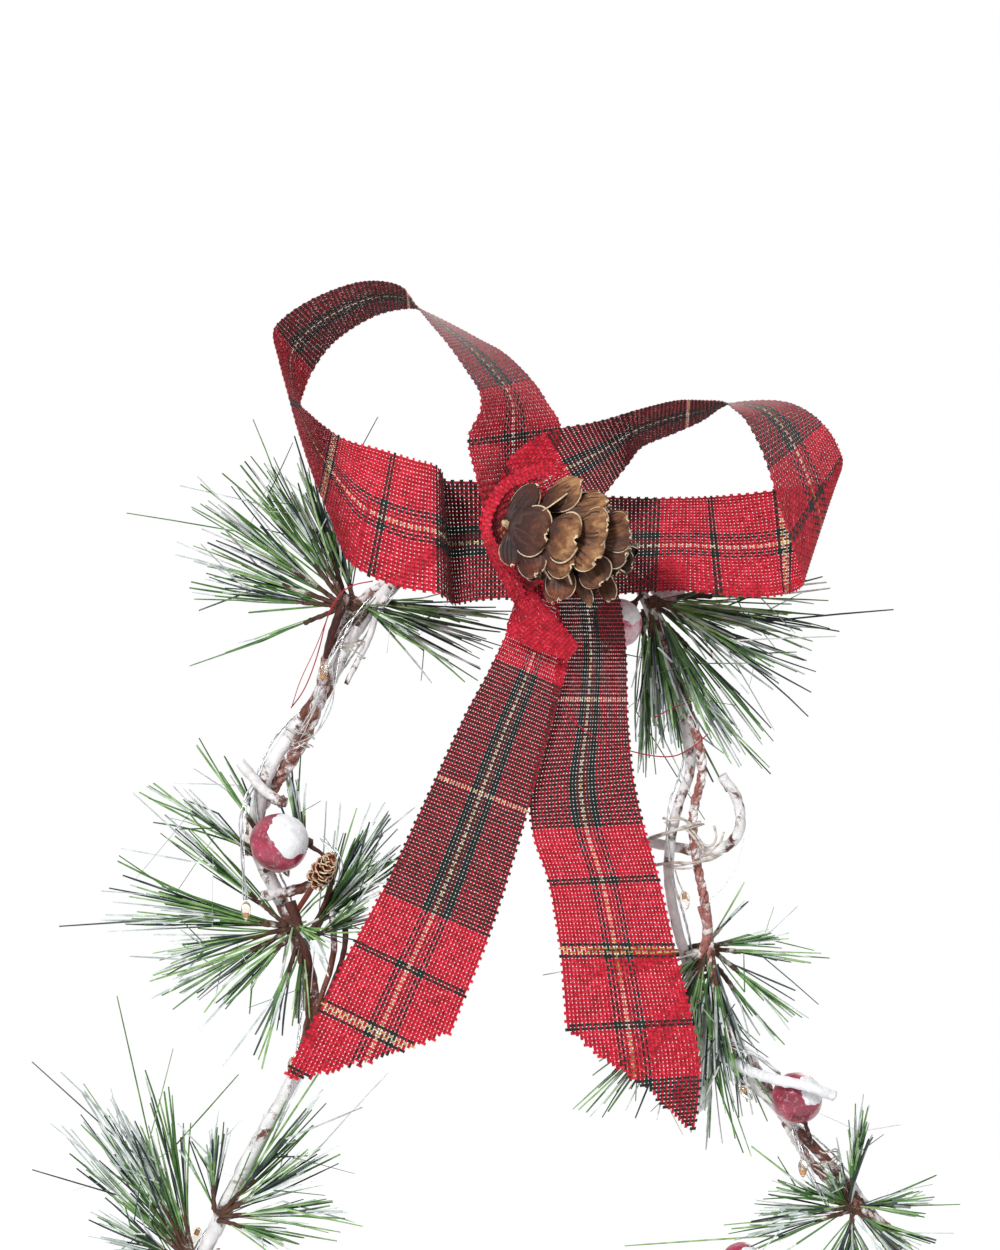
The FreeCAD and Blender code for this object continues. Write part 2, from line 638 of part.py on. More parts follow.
KNOT_PIXELS = [
    (562, 470, 562, 470, -1.16, -0.92), (530, 470, 532, 472, -1.2, -0.92), (501, 483, 512, 489, -1.24, -0.92),
    (486, 502, 500, 507, -1.26, -0.9), (481, 526, 497, 526, -1.26, -0.88), (492, 552, 505, 545, -1.2, -0.85),
    (510, 574, 522, 565, -1.08, -0.8), (530, 590, 540, 583, -0.94, -0.708),
]
loop_edges = turned_edges(LOOP_PIXELS) + straight_edges(LOOP_END_PIXELS)
left_tail_edges = straight_edges(LEFT_TAIL_PIXELS)
right_tail_edges = straight_edges(RIGHT_TAIL_PIXELS)
knot_edges = straight_edges(KNOT_PIXELS)
for name, edges in (("bow_loops", loop_edges), ("bow_left_tail", left_tail_edges),
                    ("bow_right_tail", right_tail_edges), ("bow_knot", knot_edges)):
    piece(name, ribbon(edges))
    keep_ribbon_clear(edges)

# Wire that ties the bow to the top of the vines, round the back of both and the front of the band
TIE_PIXEL = 540
TIE_PLACES = [
    (512, 0.25), (485, 0.25), (481, 0.06), (485, -0.175), (530, -0.345), (598, -0.64), (606, -0.62),
    (600, -0.3), (548, 0.25), (528, 0.25),
]
tie_path = [spot(TIE_PIXEL, down, depth_share * RIBBON) for down, depth_share in TIE_PLACES]
piece("bow_tie_wire", tube(tie_path, size("bow_tie_thick")))
keep_clear(tie_path, size("bow_tie_thick") / 2)

# Battery box behind the trunk, its long side along X, its lid at the back
def value(text):
    """What an expression over the sheet comes to."""
    return float(sheet.evalExpression(text))


FRONT = "(sizes.trunk_wide / 2 + sizes.wrap_thick + 2 * sizes.trim_gap)"
CAVE_FRONT = f"({FRONT} + sizes.box_wall)"
CAVE_REAR = f"({CAVE_FRONT} + sizes.cell_wide + 2 * sizes.cell_gap)"
LID_FRONT = f"({CAVE_REAR} + sizes.slide_gap)"
REAR = f"({LID_FRONT} + sizes.lid_thick)"
FOOT = f"({SLAB_TOP} + sizes.tape_thick)"
CAVE_FOOT = f"({FOOT} + sizes.box_wall)"
CELL_STEP = "(sizes.cell_wide + sizes.cell_gap)"
CAVE_TOP = f"({CAVE_FOOT} + 3 * {CELL_STEP} + sizes.cell_gap)"
BOX_TOP = f"({CAVE_TOP} + sizes.box_wall)"
CELL_BAY = ("(2 * sizes.plate_thick + sizes.spring_room + sizes.cell_long + sizes.button_long"
            " + sizes.cell_gap)")
LEFT = f"(-(3 * sizes.box_wall + sizes.switch_bay_long + {CELL_BAY}) / 2)"
BAY_LEFT = f"({LEFT} + sizes.box_wall)"
BAY_RIGHT = f"({BAY_LEFT} + sizes.switch_bay_long)"
CELLS_LEFT = f"({BAY_RIGHT} + sizes.box_wall)"
CELLS_RIGHT = f"({CELLS_LEFT} + {CELL_BAY})"
RIGHT = f"({CELLS_RIGHT} + sizes.box_wall)"


def block(name, low, high):
    """A box between two corners given as expressions."""
    item = doc.addObject("Part::Box", name)
    for side, axis, start, end in zip(("Length", "Width", "Height"), "xyz", low, high):
        item.setExpression(f"Placement.Base.{axis}", start)
        item.setExpression(side, f"{end} - {start}")
    return item


def joined(name, items):
    item = doc.addObject("Part::MultiFuse", name)
    item.Shapes = items
    return item


def cut_from(name, base, tools):
    item = doc.addObject("Part::Cut", name)
    item.Base = base
    item.Tool = tools[0] if len(tools) == 1 else joined(name + "_cuts", tools)
    return item


def keep(item):
    NODES.append(item)
    return item


SWITCH_X = f"({BAY_LEFT} + sizes.slide_gap + sizes.switch_long / 2)"
BOARD_REAR = f"({CAVE_FRONT} + sizes.board_thick)"
SWITCH_Y = f"({BOARD_REAR} + sizes.switch_deep / 2)"
SWITCH_TOP = f"({CAVE_TOP} - sizes.slide_gap)"
SLOT_HALF = "(sizes.knob_long / 2 + sizes.knob_throw + sizes.slide_gap)"
GROMMET_X = f"({BAY_RIGHT} - sizes.grommet_wide / 2 - sizes.slide_gap)"
GROMMET_Y = f"(({CAVE_FRONT} + {CAVE_REAR}) / 2)"

shell_block = block("shell_block", (LEFT, FRONT, FOOT), (RIGHT, REAR, BOX_TOP))
bay = block("switch_bay", (BAY_LEFT, CAVE_FRONT, CAVE_FOOT), (BAY_RIGHT, CAVE_REAR, CAVE_TOP))
cell_bay = block("cell_bay", (CELLS_LEFT, CAVE_FRONT, CAVE_FOOT), (CELLS_RIGHT, CAVE_REAR, CAVE_TOP))
PAST_RIGHT = f"({RIGHT} + sizes.overrun)"
PAST_REAR = f"({REAR} + sizes.overrun)"
lid_way = block("lid_way", (BAY_LEFT, CAVE_REAR, CAVE_FOOT), (PAST_RIGHT, PAST_REAR, CAVE_TOP))
TONGUE_REAR = f"({LID_FRONT} + sizes.tongue_thick)"
groove = block(
    "lid_groove",
    (BAY_LEFT, CAVE_REAR, f"({CAVE_FOOT} - sizes.tongue_deep - sizes.slide_gap)"),
    (PAST_RIGHT, f"({TONGUE_REAR} + sizes.slide_gap)", f"({CAVE_TOP} + sizes.tongue_deep + sizes.slide_gap)"))
slot = block(
    "switch_slot",
    (f"({SWITCH_X} - {SLOT_HALF})", f"({SWITCH_Y} - sizes.knob_deep / 2 - sizes.slide_gap)", CAVE_TOP),
    (f"({SWITCH_X} + {SLOT_HALF})", f"({SWITCH_Y} + sizes.knob_deep / 2 + sizes.slide_gap)",
     f"({BOX_TOP} + sizes.overrun)"))
grommet_hole = doc.addObject("Part::Cylinder", "grommet_hole_cut")
grommet_hole.setExpression("Radius", "sizes.grommet_hole / 2")
grommet_hole.setExpression("Height", "sizes.box_wall + 2 * sizes.overrun")
grommet_hole.setExpression("Placement.Base.x", GROMMET_X)
grommet_hole.setExpression("Placement.Base.y", GROMMET_Y)
grommet_hole.setExpression("Placement.Base.z", f"{CAVE_TOP} - sizes.overrun")
keep(cut_from("battery_box", shell_block, [bay, cell_bay, lid_way, groove, slot, grommet_hole]))

LID_LEFT = f"({BAY_LEFT} + sizes.slide_gap)"
LID_FOOT = f"({CAVE_FOOT} + sizes.slide_gap)"
LID_TOP = f"({CAVE_TOP} - sizes.slide_gap)"
lid_plate = block("lid_plate", (LID_LEFT, LID_FRONT, LID_FOOT), (RIGHT, REAR, LID_TOP))
lid_tongue = block("lid_tongue", (LID_LEFT, LID_FRONT, f"({LID_FOOT} - sizes.tongue_deep)"),
                   (RIGHT, TONGUE_REAR, f"({LID_TOP} + sizes.tongue_deep)"))
GRIPS = 4
lid_parts = [lid_plate, lid_tongue]
GRIP_FOOT = f"(({FOOT} + {BOX_TOP} - sizes.grip_long) / 2)"
for bar in range(GRIPS):
    bar_left = f"({RIGHT} - {3 + 2 * bar} * sizes.grip_wide)"
    lid_parts.append(block(f"grip_{bar + 1}", (bar_left, REAR, GRIP_FOOT),
                           (f"({bar_left} + sizes.grip_wide)", f"({REAR} + sizes.grip_thick)",
                            f"({GRIP_FOOT} + sizes.grip_long)")))
keep(joined("battery_lid", lid_parts))
keep(block("foam_tape", (f"({LEFT} + sizes.tape_inset)", f"({FRONT} + sizes.tape_inset)", SLAB_TOP),
           (f"({RIGHT} - sizes.tape_inset)", f"({REAR} - sizes.tape_inset)", FOOT)))

board_plate = block("board_plate", (LID_LEFT, CAVE_FRONT, LID_FOOT),
                    (f"({BAY_RIGHT} - sizes.slide_gap)", BOARD_REAR, SWITCH_TOP))
CHIP_LEFT = f"({BAY_LEFT} + sizes.chip_wide)"
CHIP_FOOT = f"({CAVE_FOOT} + sizes.chip_wide)"
chip = block("timer_chip", (CHIP_LEFT, BOARD_REAR, CHIP_FOOT),
             (f"({CHIP_LEFT} + sizes.chip_wide)", f"({BOARD_REAR} + sizes.chip_thick)",
              f"({CHIP_FOOT} + sizes.chip_wide)"))
keep(joined("timer_board", [board_plate, chip]))
keep(block("switch_body",
           (f"({SWITCH_X} - sizes.switch_long / 2)", BOARD_REAR, f"({SWITCH_TOP} - sizes.switch_tall)"),
           (f"({SWITCH_X} + sizes.switch_long / 2)", f"({BOARD_REAR} + sizes.switch_deep)", SWITCH_TOP)))
keep(block("switch_slider",
           (f"({SWITCH_X} - sizes.knob_long / 2)", f"({SWITCH_Y} - sizes.knob_deep / 2)",
            f"({SWITCH_TOP} + sizes.slide_gap)"),
           (f"({SWITCH_X} + sizes.knob_long / 2)", f"({SWITCH_Y} + sizes.knob_deep / 2)",
            f"({BOX_TOP} + sizes.knob_rise)")))

# Cells, springs and contact plates
CELL_ROWS = 3
SPRING_TURNS = 3
cell_solids = []
springs = []
plates = []
cells_left = value(CELLS_LEFT)
cells_right = value(CELLS_RIGHT)
cell_y = value(f"{CAVE_FRONT} + sizes.cell_gap + sizes.cell_wide / 2")
plate = size("plate_thick")
half_plate = size("plate_wide") / 2
for index in range(CELL_ROWS):
    cell_z = value(f"{CAVE_FOOT} + sizes.cell_gap + sizes.cell_wide / 2 + {index} * {CELL_STEP}")
    way = 1 if index % 2 == 0 else -1
    flat_room = plate + size("spring_room")
    flat_end = cells_left + flat_room if way > 0 else cells_right - flat_room
    flat_point = Vector(flat_end, cell_y, cell_z)
    heading = Vector(way, 0, 0)
    can = Part.makeCylinder(size("cell_wide") / 2, size("cell_long"), flat_point, heading)
    button_at = flat_point + heading * size("cell_long")
    button = Part.makeCylinder(size("button_wide") / 2, size("button_long"), button_at, heading)
    cell_solids.append(can.fuse(button))
    spring_pitch = (size("spring_room") - 2 * size("spring_thick")) / SPRING_TURNS
    springs.append(winding(flat_point - heading * (size("spring_room") / 2), heading,
                           (size("spring_wide") - size("spring_thick")) / 2, spring_pitch, SPRING_TURNS,
                           size("spring_thick")))
    for left_end in (cells_left, cells_right - plate):
        corner = Vector(left_end, cell_y - half_plate, cell_z - half_plate)
        plates.append(Part.makeBox(plate, size("plate_wide"), size("plate_wide"), corner))
piece("aa_cells", Part.makeCompound(cell_solids))
piece("contact_springs", Part.makeCompound(springs))
piece("contact_plates", Part.makeCompound(plates))

# Lead from the box to the splice sleeve behind the trunk
LEAD = size("lead_thick")
lead_x = value(GROMMET_X)
lead_y = value(GROMMET_Y)
box_top = value(BOX_TOP)
trunk_back = size("trunk_wide") / 2 + size("splice_wide") / 2 + GAP
sleeve_foot = Vector(0, trunk_back, BOUGH_HEIGHT + LEAD)
board_point = Vector(lead_x, value(BOARD_REAR), value(f"({CAVE_FOOT} + {CAVE_TOP}) / 2"))
lead_path = [
    board_point,
    Vector(lead_x, lead_y, board_point.z),
    Vector(lead_x, lead_y, box_top + 4 * LEAD),
    Vector(lead_x / 2, (lead_y + trunk_back) / 2, box_top + 5 * LEAD),
    Vector(0, trunk_back, box_top + 3 * LEAD),
    sleeve_foot,
]
piece("battery_lead", tube(lead_path, LEAD))
keep_clear(lead_path, LEAD / 2)
sleeve = Part.makeCylinder(size("splice_wide") / 2, size("splice_long"), sleeve_foot)
piece("splice_sleeve", sleeve)
flange = size("grommet_flange")
grommet_foot = Vector(lead_x, lead_y, value(CAVE_TOP))
grommet = Part.makeCylinder(size("grommet_hole") / 2 - size("fit_gap"), size("box_wall") + flange,
                            grommet_foot)
grommet = grommet.fuse(Part.makeCylinder(size("grommet_wide") / 2, flange, Vector(lead_x, lead_y, box_top)))
piece("lead_grommet", grommet.cut(Part.makeCylinder(LEAD / 2 + size("fit_gap"), 2 * size("box_wall") + flange,
                                                    grommet_foot - Vector(0, 0, size("overrun") / 2))))

# Strings of lamps along the vines
WIRE = size("lamp_wire_thick")


def capsule(centre, heading, long, wide):
    """A drop with round ends."""
    radius = wide / 2
    half = heading * (long / 2 - radius)
    body = Part.makeCylinder(radius, long - wide, centre - half, heading)
    return body.fuse([Part.makeSphere(radius, centre - half), Part.makeSphere(radius, centre + half)])


LAMP_EVERY = 8
SPARE_MARKS = 4
WIRE_GAPS = 1.7


def string_route(marks, main, phase_share, side):
    """The wire's way from the splice sleeve along the bough and up the vine, and its lamps."""
    near = (main + WIRE) / 2 + WIRE_GAPS * GAP
    far = near + (WIRE + size("lamp_wide")) / 2 + size("fit_gap")
    chosen = marks[-SPARE_MARKS:SPARE_MARKS:-1]
    top = sleeve_foot + Vector(side * size("splice_wide") / 4, 0, size("splice_long"))
    rise = Vector(0, 0, 3 * WIRE)
    bend = top + rise + Vector(side * size("trunk_wide") / 2, 0, 0)
    route = [top, top + rise, bend]
    route += [mark[0] + outward(mark, phase_share) * near for mark in chosen]
    lamps = [(mark[0] + outward(mark, phase_share) * far, mark[1])
             for mark in chosen[LAMP_EVERY // 2::LAMP_EVERY]]
    return route, lamps


strings = {
    "left": string_route(left_marks, VINE, LEFT_PHASE_SHARE, -1),
    "right": string_route(right_marks, STEM, RIGHT_PHASE_SHARE, 1),
}
for side_name, (route, lamps) in strings.items():
    piece(f"lamp_wire_{side_name}", tube(route, WIRE))
    drops = [capsule(place, heading, size("lamp_long"), size("lamp_wide")) for place, heading in lamps]
    piece(f"lamps_{side_name}", Part.makeCompound(drops))
    keep_clear(route, WIRE / 2)
    for place, heading in lamps:
        keep_clear([place, place], size("lamp_long") / 2)

# Berries on wire stems
# Each row is the berry's pixel and depth in shares of its width, its width as a share of the
# largest, the places its stem goes through with depths in vine widths, and its seat's pixel.
BERRY_PIXELS = {
    "left_berries": ("left", [
        ((279, 843, -0.62), 1.05, [(303, 842, -2.4), (330, 858, -2.2), (334, 885, -1.9)], (305, 950)),
        ((128, 1500, -0.62), 0.9, [], (146, 1482)),
        ((120, 1745, -0.62), 1.0, [], (152, 1736)),
        ((330, 1878, -0.62), 0.85, [], (318, 1912)),
    ]),
    "right_berries": ("right", [
        ((797, 1098, -0.62), 0.92, [], (812, 1144)),
        ((692, 1093, 0.45), 0.72, [], (730, 1052)),
        ((741, 1262, -0.5), 0.72, [(768, 1288, -1.2), (850, 1308, -1.2)], (924, 1306)),
        ((905, 1470, -0.62), 0.95, [], (948, 1465)),
        ((948, 1722, -0.62), 0.85, [], (916, 1736)),
        ((720, 1880, -0.62), 0.9, [], (740, 1912)),
    ]),
    "top_berries": ("right", [
        ((617, 623, -0.35), 0.9, [], (643, 594)),
        ((668, 580, 0.45), 0.78, [], (636, 582)),
    ]),
}
BERRY_ROOT_SHARE = 0.7
for name, (vine, rows) in BERRY_PIXELS.items():
    solids = []
    for (across, down, depth_share), wide_share, via, seat_pixel in rows:
        wide = size("berry_wide") * wide_share
        centre = spot(across, down, depth_share * wide)
        hub = spots(via, VINE)
        foot, side, turn = seat(vine, *seat_pixel, BERRY_STEM, hub[-1] if hub else centre)
        route = hub + [turn, foot]
        toward = (route[0] - centre).normalize()
        route = [centre + toward * (wide / 2 * BERRY_ROOT_SHARE)] + route
        keep_clear([centre, centre], wide / 2)
        keep_clear(route, BERRY_STEM / 2)
        berry = Part.makeSphere(wide / 2, centre).fuse(tube(route, BERRY_STEM)).Solids[0]
        if berry.Volume < 0:
            berry.reverse()
        solids.append(berry)
    piece(name, Part.makeCompound(solids))

# Small alder cones beside the berries: pixel and depth of the middle, seat's pixel
SMALL_CONE_PIXELS = [
    ("left", (322, 872, -3.9), (290, 920)),
    ("right", (866, 1520, -2.0), (914, 1524)),
    ("left", (180, 1655, -2.0), (200, 1640)),
]
small_cones = []
for vine, middle_pixel, seat_pixel in SMALL_CONE_PIXELS:
    middle = spot(*middle_pixel[:2], middle_pixel[2] * VINE)
    foot, side, turn = seat(vine, *seat_pixel, BERRY_STEM, middle)
    heading = (turn - middle).normalize()
    body = capsule(middle, heading, size("small_cone_long"), size("small_cone_wide"))
    small_cone = body.fuse(tube([middle, turn, foot], BERRY_STEM)).Solids[0]
    if small_cone.Volume < 0:
        small_cone.reverse()
    small_cones.append(small_cone)
    half_long = heading * ((size("small_cone_long") - size("small_cone_wide")) / 2)
    keep_clear([middle - half_long, middle + half_long], size("small_cone_wide") / 2)
    keep_clear([middle, turn, foot], BERRY_STEM / 2)
piece("small_cones", Part.makeCompound(small_cones))

# Pinecone on the knot
CONE_BASE_PIXEL = (512, 524, -1.28)
CONE_TIP_PIXEL = (631, 560, -1.42)
CONE_SCALES = 30
GOLDEN = math.pi * (3 - math.sqrt(5))
CORE_LONG_SHARE = 0.9
SCALE_LEAN_DEGREES = (82, 20)
SCALE_PLACE_SHARES = (0.14, 0.76)
BULGE_SHARES = (0.3, 0.92)
BULGE_POWER = 0.7
SCALE_OUTLINE_SHARES = [(0, 0.12), (0.35, 0.3), (0.7, 0.5), (0.92, 0.4), (1, 0.15)]
cone_base = spot(*CONE_BASE_PIXEL[:2], CONE_BASE_PIXEL[2] * RIBBON)
cone_tip = spot(*CONE_TIP_PIXEL[:2], CONE_TIP_PIXEL[2] * RIBBON)
cone_axis = (cone_tip - cone_base).normalize()
cone_side = cone_axis.cross(Vector(0, 0, 1)).normalize()
cone_up = cone_axis.cross(cone_side)


def between(pair, share):
    return pair[0] + (pair[1] - pair[0]) * share


def cone_scale(root, heading, across, long, wide):
    """A flat scale from its root outwards."""
    normal = heading.cross(across).normalize()
    outline = [root + heading * (long * u) + across * (wide * v) for u, v in SCALE_OUTLINE_SHARES]
    outline += [root + heading * (long * u) - across * (wide * v) for u, v in SCALE_OUTLINE_SHARES[::-1]]
    base = [point - normal * (size("scale_thick") / 2) for point in outline]
    return Part.Face(Part.makePolygon(base + base[:1])).extrude(normal * size("scale_thick"))


core_middle = cone_base + cone_axis * (size("cone_long") / 2)
core = capsule(core_middle, cone_axis, size("cone_long") * CORE_LONG_SHARE, size("cone_core_wide"))
cone_scales = []
for index in range(CONE_SCALES):
    share = (index + 0.5) / CONE_SCALES
    angle = GOLDEN * index
    radial = cone_side * math.cos(angle) + cone_up * math.sin(angle)
    across = cone_axis.cross(radial)
    lean = math.radians(between(SCALE_LEAN_DEGREES, share))
    heading = radial * math.sin(lean) + cone_axis * math.cos(lean)
    bulge = math.sin(math.pi * between(BULGE_SHARES, share)) ** BULGE_POWER
    long = (size("cone_wide") / 2) * bulge
    root = cone_base + cone_axis * (size("cone_long") * between(SCALE_PLACE_SHARES, share))
    cone_scales.append(cone_scale(root, heading, across, long, size("scale_wide") * bulge))
CONE_WIRE_PIXELS = [(566, 546, -0.395), (566, 546, -1.2)]
cone_wire = tube(spots(CONE_WIRE_PIXELS, RIBBON), BERRY_STEM)
piece("pinecone", core.fuse(cone_scales + [cone_wire]))

# Pine sprigs
# Each tuft is the pixel of its root, the pixel and depth in vine widths of the tips it
# reaches for, how wide it fans in degrees, and its number of needles.
SPRIG_PIXELS = {
    "sprig_top_left": [
        ((342, 602), (185, 560, -1.5), 34, 16),
        ((335, 590), (262, 462, -1.0), 22, 12),
        ((385, 596), (500, 622, 0.6), 24, 12),
    ],
    "sprig_top_right": [
        ((664, 604), (812, 622, 1.6), 18, 12),
        ((668, 622), (790, 700, 1.6), 18, 10),
        ((662, 640), (660, 765, 1.6), 18, 12),
        ((676, 640), (736, 765, 1.6), 16, 10),
    ],
    "sprig_mid_left": [
        ((276, 926), (118, 915, -1.6), 24, 18),
        ((240, 868), (152, 800, -1.4), 24, 10),
        ((318, 930), (394, 850, -1.4), 22, 10),
        ((292, 940), (252, 1045, -1.6), 26, 10),
    ],
    "sprig_mid_right": [
        ((716, 940), (788, 912, 1.8), 24, 10),
        ((720, 958), (806, 972, 1.8), 22, 10),
        ((688, 985), (690, 1126, 1.8), 20, 12),
        ((672, 955), (556, 975, 1.8), 16, 8),
        ((678, 985), (586, 1105, 1.8), 16, 8),
    ],
    "sprig_low_left": [
        ((186, 1262), (78, 1092, -1.6), 20, 18),
        ((246, 1185), (330, 1155, -1.6), 34, 14),
        ((214, 1212), (212, 1130, -1.4), 16, 8),
        ((178, 1278), (84, 1300, -1.6), 22, 8),
    ],
    "sprig_low_right": [
        ((844, 1202), (745, 1212, -1.6), 20, 12),
        ((852, 1180), (866, 1112, -1.6), 18, 8),
        ((882, 1208), (945, 1205, -1.6), 24, 8),
        ((852, 1214), (850, 1300, -1.6), 24, 8),
    ],
    "sprig_tier_left": [
        ((124, 1425), (20, 1440, -1.6), 30, 16),
        ((134, 1400), (80, 1300, -1.6), 24, 10),
        ((128, 1455), (60, 1540, -1.6), 24, 10),
    ],
    "sprig_tier_right": [
        ((962, 1425), (1060, 1440, -1.6), 30, 16),
        ((952, 1400), (1000, 1300, -1.6), 24, 10),
        ((956, 1460), (1020, 1540, -1.6), 24, 10),
    ],
    "sprig_notch_left": [
        ((206, 1590), (300, 1560, -1.6), 28, 14),
        ((206, 1616), (260, 1710, -1.6), 24, 10),
    ],
    "sprig_notch_right": [
        ((872, 1596), (770, 1566, -1.6), 30, 13),
        ((870, 1624), (812, 1710, -1.6), 24, 10),
    ],
    "sprig_corner_left": [
        ((72, 1872), (-30, 1850, -1.6), 30, 14),
        ((80, 1840), (10, 1760, -1.6), 22, 10),
        ((90, 1905), (20, 1990, -1.6), 24, 10),
    ],
    "sprig_corner_right": [
        ((990, 1872), (1095, 1850, -1.6), 30, 14),
        ((980, 1838), (1050, 1760, -1.6), 22, 10),
        ((974, 1905), (1040, 1990, -1.6), 24, 10),
    ],
    "sprig_bough_left": [
        ((404, 1904), (300, 1845, -1.6), 26, 14),
        ((424, 1900), (480, 1800, -1.6), 26, 12),
        ((396, 1926), (320, 1990, -1.6), 24, 8),
    ],
    "sprig_bough_right": [
        ((634, 1904), (740, 1825, -1.6), 26, 14),
        ((614, 1900), (570, 1800, -1.6), 26, 12),
        ((650, 1926), (720, 1990, -1.6), 24, 8),
    ],
}
STEM_SHARE = 0.32
ROOT_SHARE = 0.2
SHORT_SHARE = 0.62
LEAN_SHARES = (0.35, 1.15)
LEAN_ROOT_SHARE = 1.25
LEAN_FALL_SHARE = 0.6
FLAT_SHARE = 0.6
SPIN_SWAY = 0.3
UPRIGHT = 0.1


def needle(root, heading, long, thick):
    """A three-sided needle that tapers to its tip."""
    side = heading.cross(Vector(0, 0, 1))
    if side.Length < UPRIGHT:
        side = heading.cross(Vector(1, 0, 0))
    side.normalize()
    up = heading.cross(side)
    corners = []
    for third in range(3):
        angle = 2 * math.pi * third / 3
        corners.append(root + (side * math.cos(angle) + up * math.sin(angle)) * (thick / 2))
    tip = root + heading * long
    faces = [Part.Face(Part.makePolygon(corners + corners[:1]))]
    for a, b in zip(corners, corners[1:] + corners[:1]):
        faces.append(Part.Face(Part.makePolygon([a, b, tip, a])))
    return Part.Solid(Part.Shell(faces))


def tuft_needles(root, tip, fan, count, rng):
    """Root and tip of each needle of a tuft: its stem leads and the needles fan round it."""
    reach = (tip - root).Length
    heading = (tip - root).normalize()
    side = heading.cross(Vector(0, 1, 0)).normalize()
    stem_long = reach * STEM_SHARE
    found = []
    for index in range(count):
        share = ROOT_SHARE + (1 - ROOT_SHARE) * index / count
        lean = math.radians(fan) * rng.uniform(*LEAN_SHARES) * (LEAN_ROOT_SHARE - LEAN_FALL_SHARE * share)
        spin = GOLDEN * index + rng.uniform(-SPIN_SWAY, SPIN_SWAY)
        flat = math.cos(spin)
        toward = heading * math.cos(lean) + side * (math.sin(lean) * flat)
        toward += Vector(0, 1, 0) * (math.sin(lean) * math.sin(spin) * FLAT_SHARE)
        toward.normalize()
        start = root + heading * (stem_long * share)
        long = min(reach - stem_long * share, size("needle_long")) * rng.uniform(SHORT_SHARE, 1)
        found.append((start, toward, long))
    return stem_long, found


skipped = 0
for name, tufts in SPRIG_PIXELS.items():
    rng = random.Random(name)
    solids = []
    for (root_across, root_down), (across, down, depth_share), fan, count in tufts:
        tip = spot(across, down, depth_share * VINE)
        vine = "left" if name.endswith("left") else "right"
        hub = spot(root_across, root_down)
        stem_end = hub + (tip - hub) * STEM_SHARE
        foot, side, root = seat(vine, root_across, root_down, size("sprig_stem_thick"), stem_end)
        stem_long, needles = tuft_needles(root, tip, fan, count, rng)
        stem_end = root + (tip - root).normalize() * stem_long
        stem = tube([foot, root, stem_end], size("sprig_stem_thick"))
        kept = []
        grown = []
        for start, toward, long in needles:
            end = start + toward * long
            if least_room(start, end, size("needle_thick") / 2) > GAP:
                kept.append(needle(start, toward, long, size("needle_thick")))
                grown.append((start, end, size("needle_thick") / 2))
            else:
                skipped += 1
        grown += [(foot, root, size("sprig_stem_thick") / 2), (root, stem_end, size("sprig_stem_thick") / 2)]
        taken.extend(grown)
        solids.append(stem.fuse(kept) if kept else stem)
    piece(name, Part.makeCompound(solids))
print("needles left out for want of room:", skipped)

# Checks and files
doc.recompute()
for item in doc.Objects:
    if {"Invalid", "Error"} & set(item.State):
        raise RuntimeError(f"{item.Name} failed to compute")
for item in NODES:
    if item.Shape.isNull() or not item.Shape.isValid():
        raise RuntimeError(f"{item.Label} has no valid shape")
for item in NODES:
    print(item.Label, round(item.Shape.Volume, 1), len(item.Shape.Solids), len(item.Shape.Faces))
    item.Shape.exportStep(f"parts/{item.Label}.step")
print("nodes:", len(NODES))
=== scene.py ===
import bpy
import math
import random
import numpy as np
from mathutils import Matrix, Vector, noise


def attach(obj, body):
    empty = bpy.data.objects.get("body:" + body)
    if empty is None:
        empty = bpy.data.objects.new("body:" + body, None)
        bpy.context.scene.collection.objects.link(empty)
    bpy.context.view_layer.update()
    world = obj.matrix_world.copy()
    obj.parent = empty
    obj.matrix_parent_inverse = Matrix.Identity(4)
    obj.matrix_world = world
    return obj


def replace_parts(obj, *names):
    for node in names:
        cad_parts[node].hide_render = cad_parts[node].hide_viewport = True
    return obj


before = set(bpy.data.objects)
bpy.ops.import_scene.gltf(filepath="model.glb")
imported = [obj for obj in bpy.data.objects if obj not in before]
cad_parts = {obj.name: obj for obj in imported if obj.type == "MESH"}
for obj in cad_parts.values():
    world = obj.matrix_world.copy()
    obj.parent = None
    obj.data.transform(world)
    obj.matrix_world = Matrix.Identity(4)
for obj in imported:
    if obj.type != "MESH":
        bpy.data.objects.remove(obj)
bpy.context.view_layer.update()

# Picture mapping, as in the part's source, in metres
VIEW_PIXEL = (500, 625)
TREE_PIXEL = 525
FLOOR_PIXEL = 2160
PIXEL = 0.00032
MM = 0.001
EYE_DISTANCE = 1.6
FRAME_PIXELS = 1250
VINE = 0.0048
STEM = 0.0036
ROPE = 0.0032
RIBBON = 0.040
BERRY = 0.018
AWAY = Vector((0, 1, 0))
UPWARD = Vector((0, 0, 1))


def spot(across, down, depth=0.0):
    """The point that the picture shows at a pixel, at a depth behind the plane of the tree."""
    near = 1 + depth / EYE_DISTANCE
    x = (VIEW_PIXEL[0] - TREE_PIXEL + (across - VIEW_PIXEL[0]) * near) * PIXEL
    z = (FLOOR_PIXEL - VIEW_PIXEL[1] + (VIEW_PIXEL[1] - down) * near) * PIXEL
    return Vector((x, depth, z))


def spots(rows, unit):
    """Points for rows of a pixel and a depth in units."""
    return [spot(across, down, share * unit) for across, down, share in rows]


# Camera, lights, floor
CLIP_NEAR = 0.05
WORLD_STRENGTH = 0.28
FLOOR_GLOW = 0.7
FLOOR_HALF = 3.0
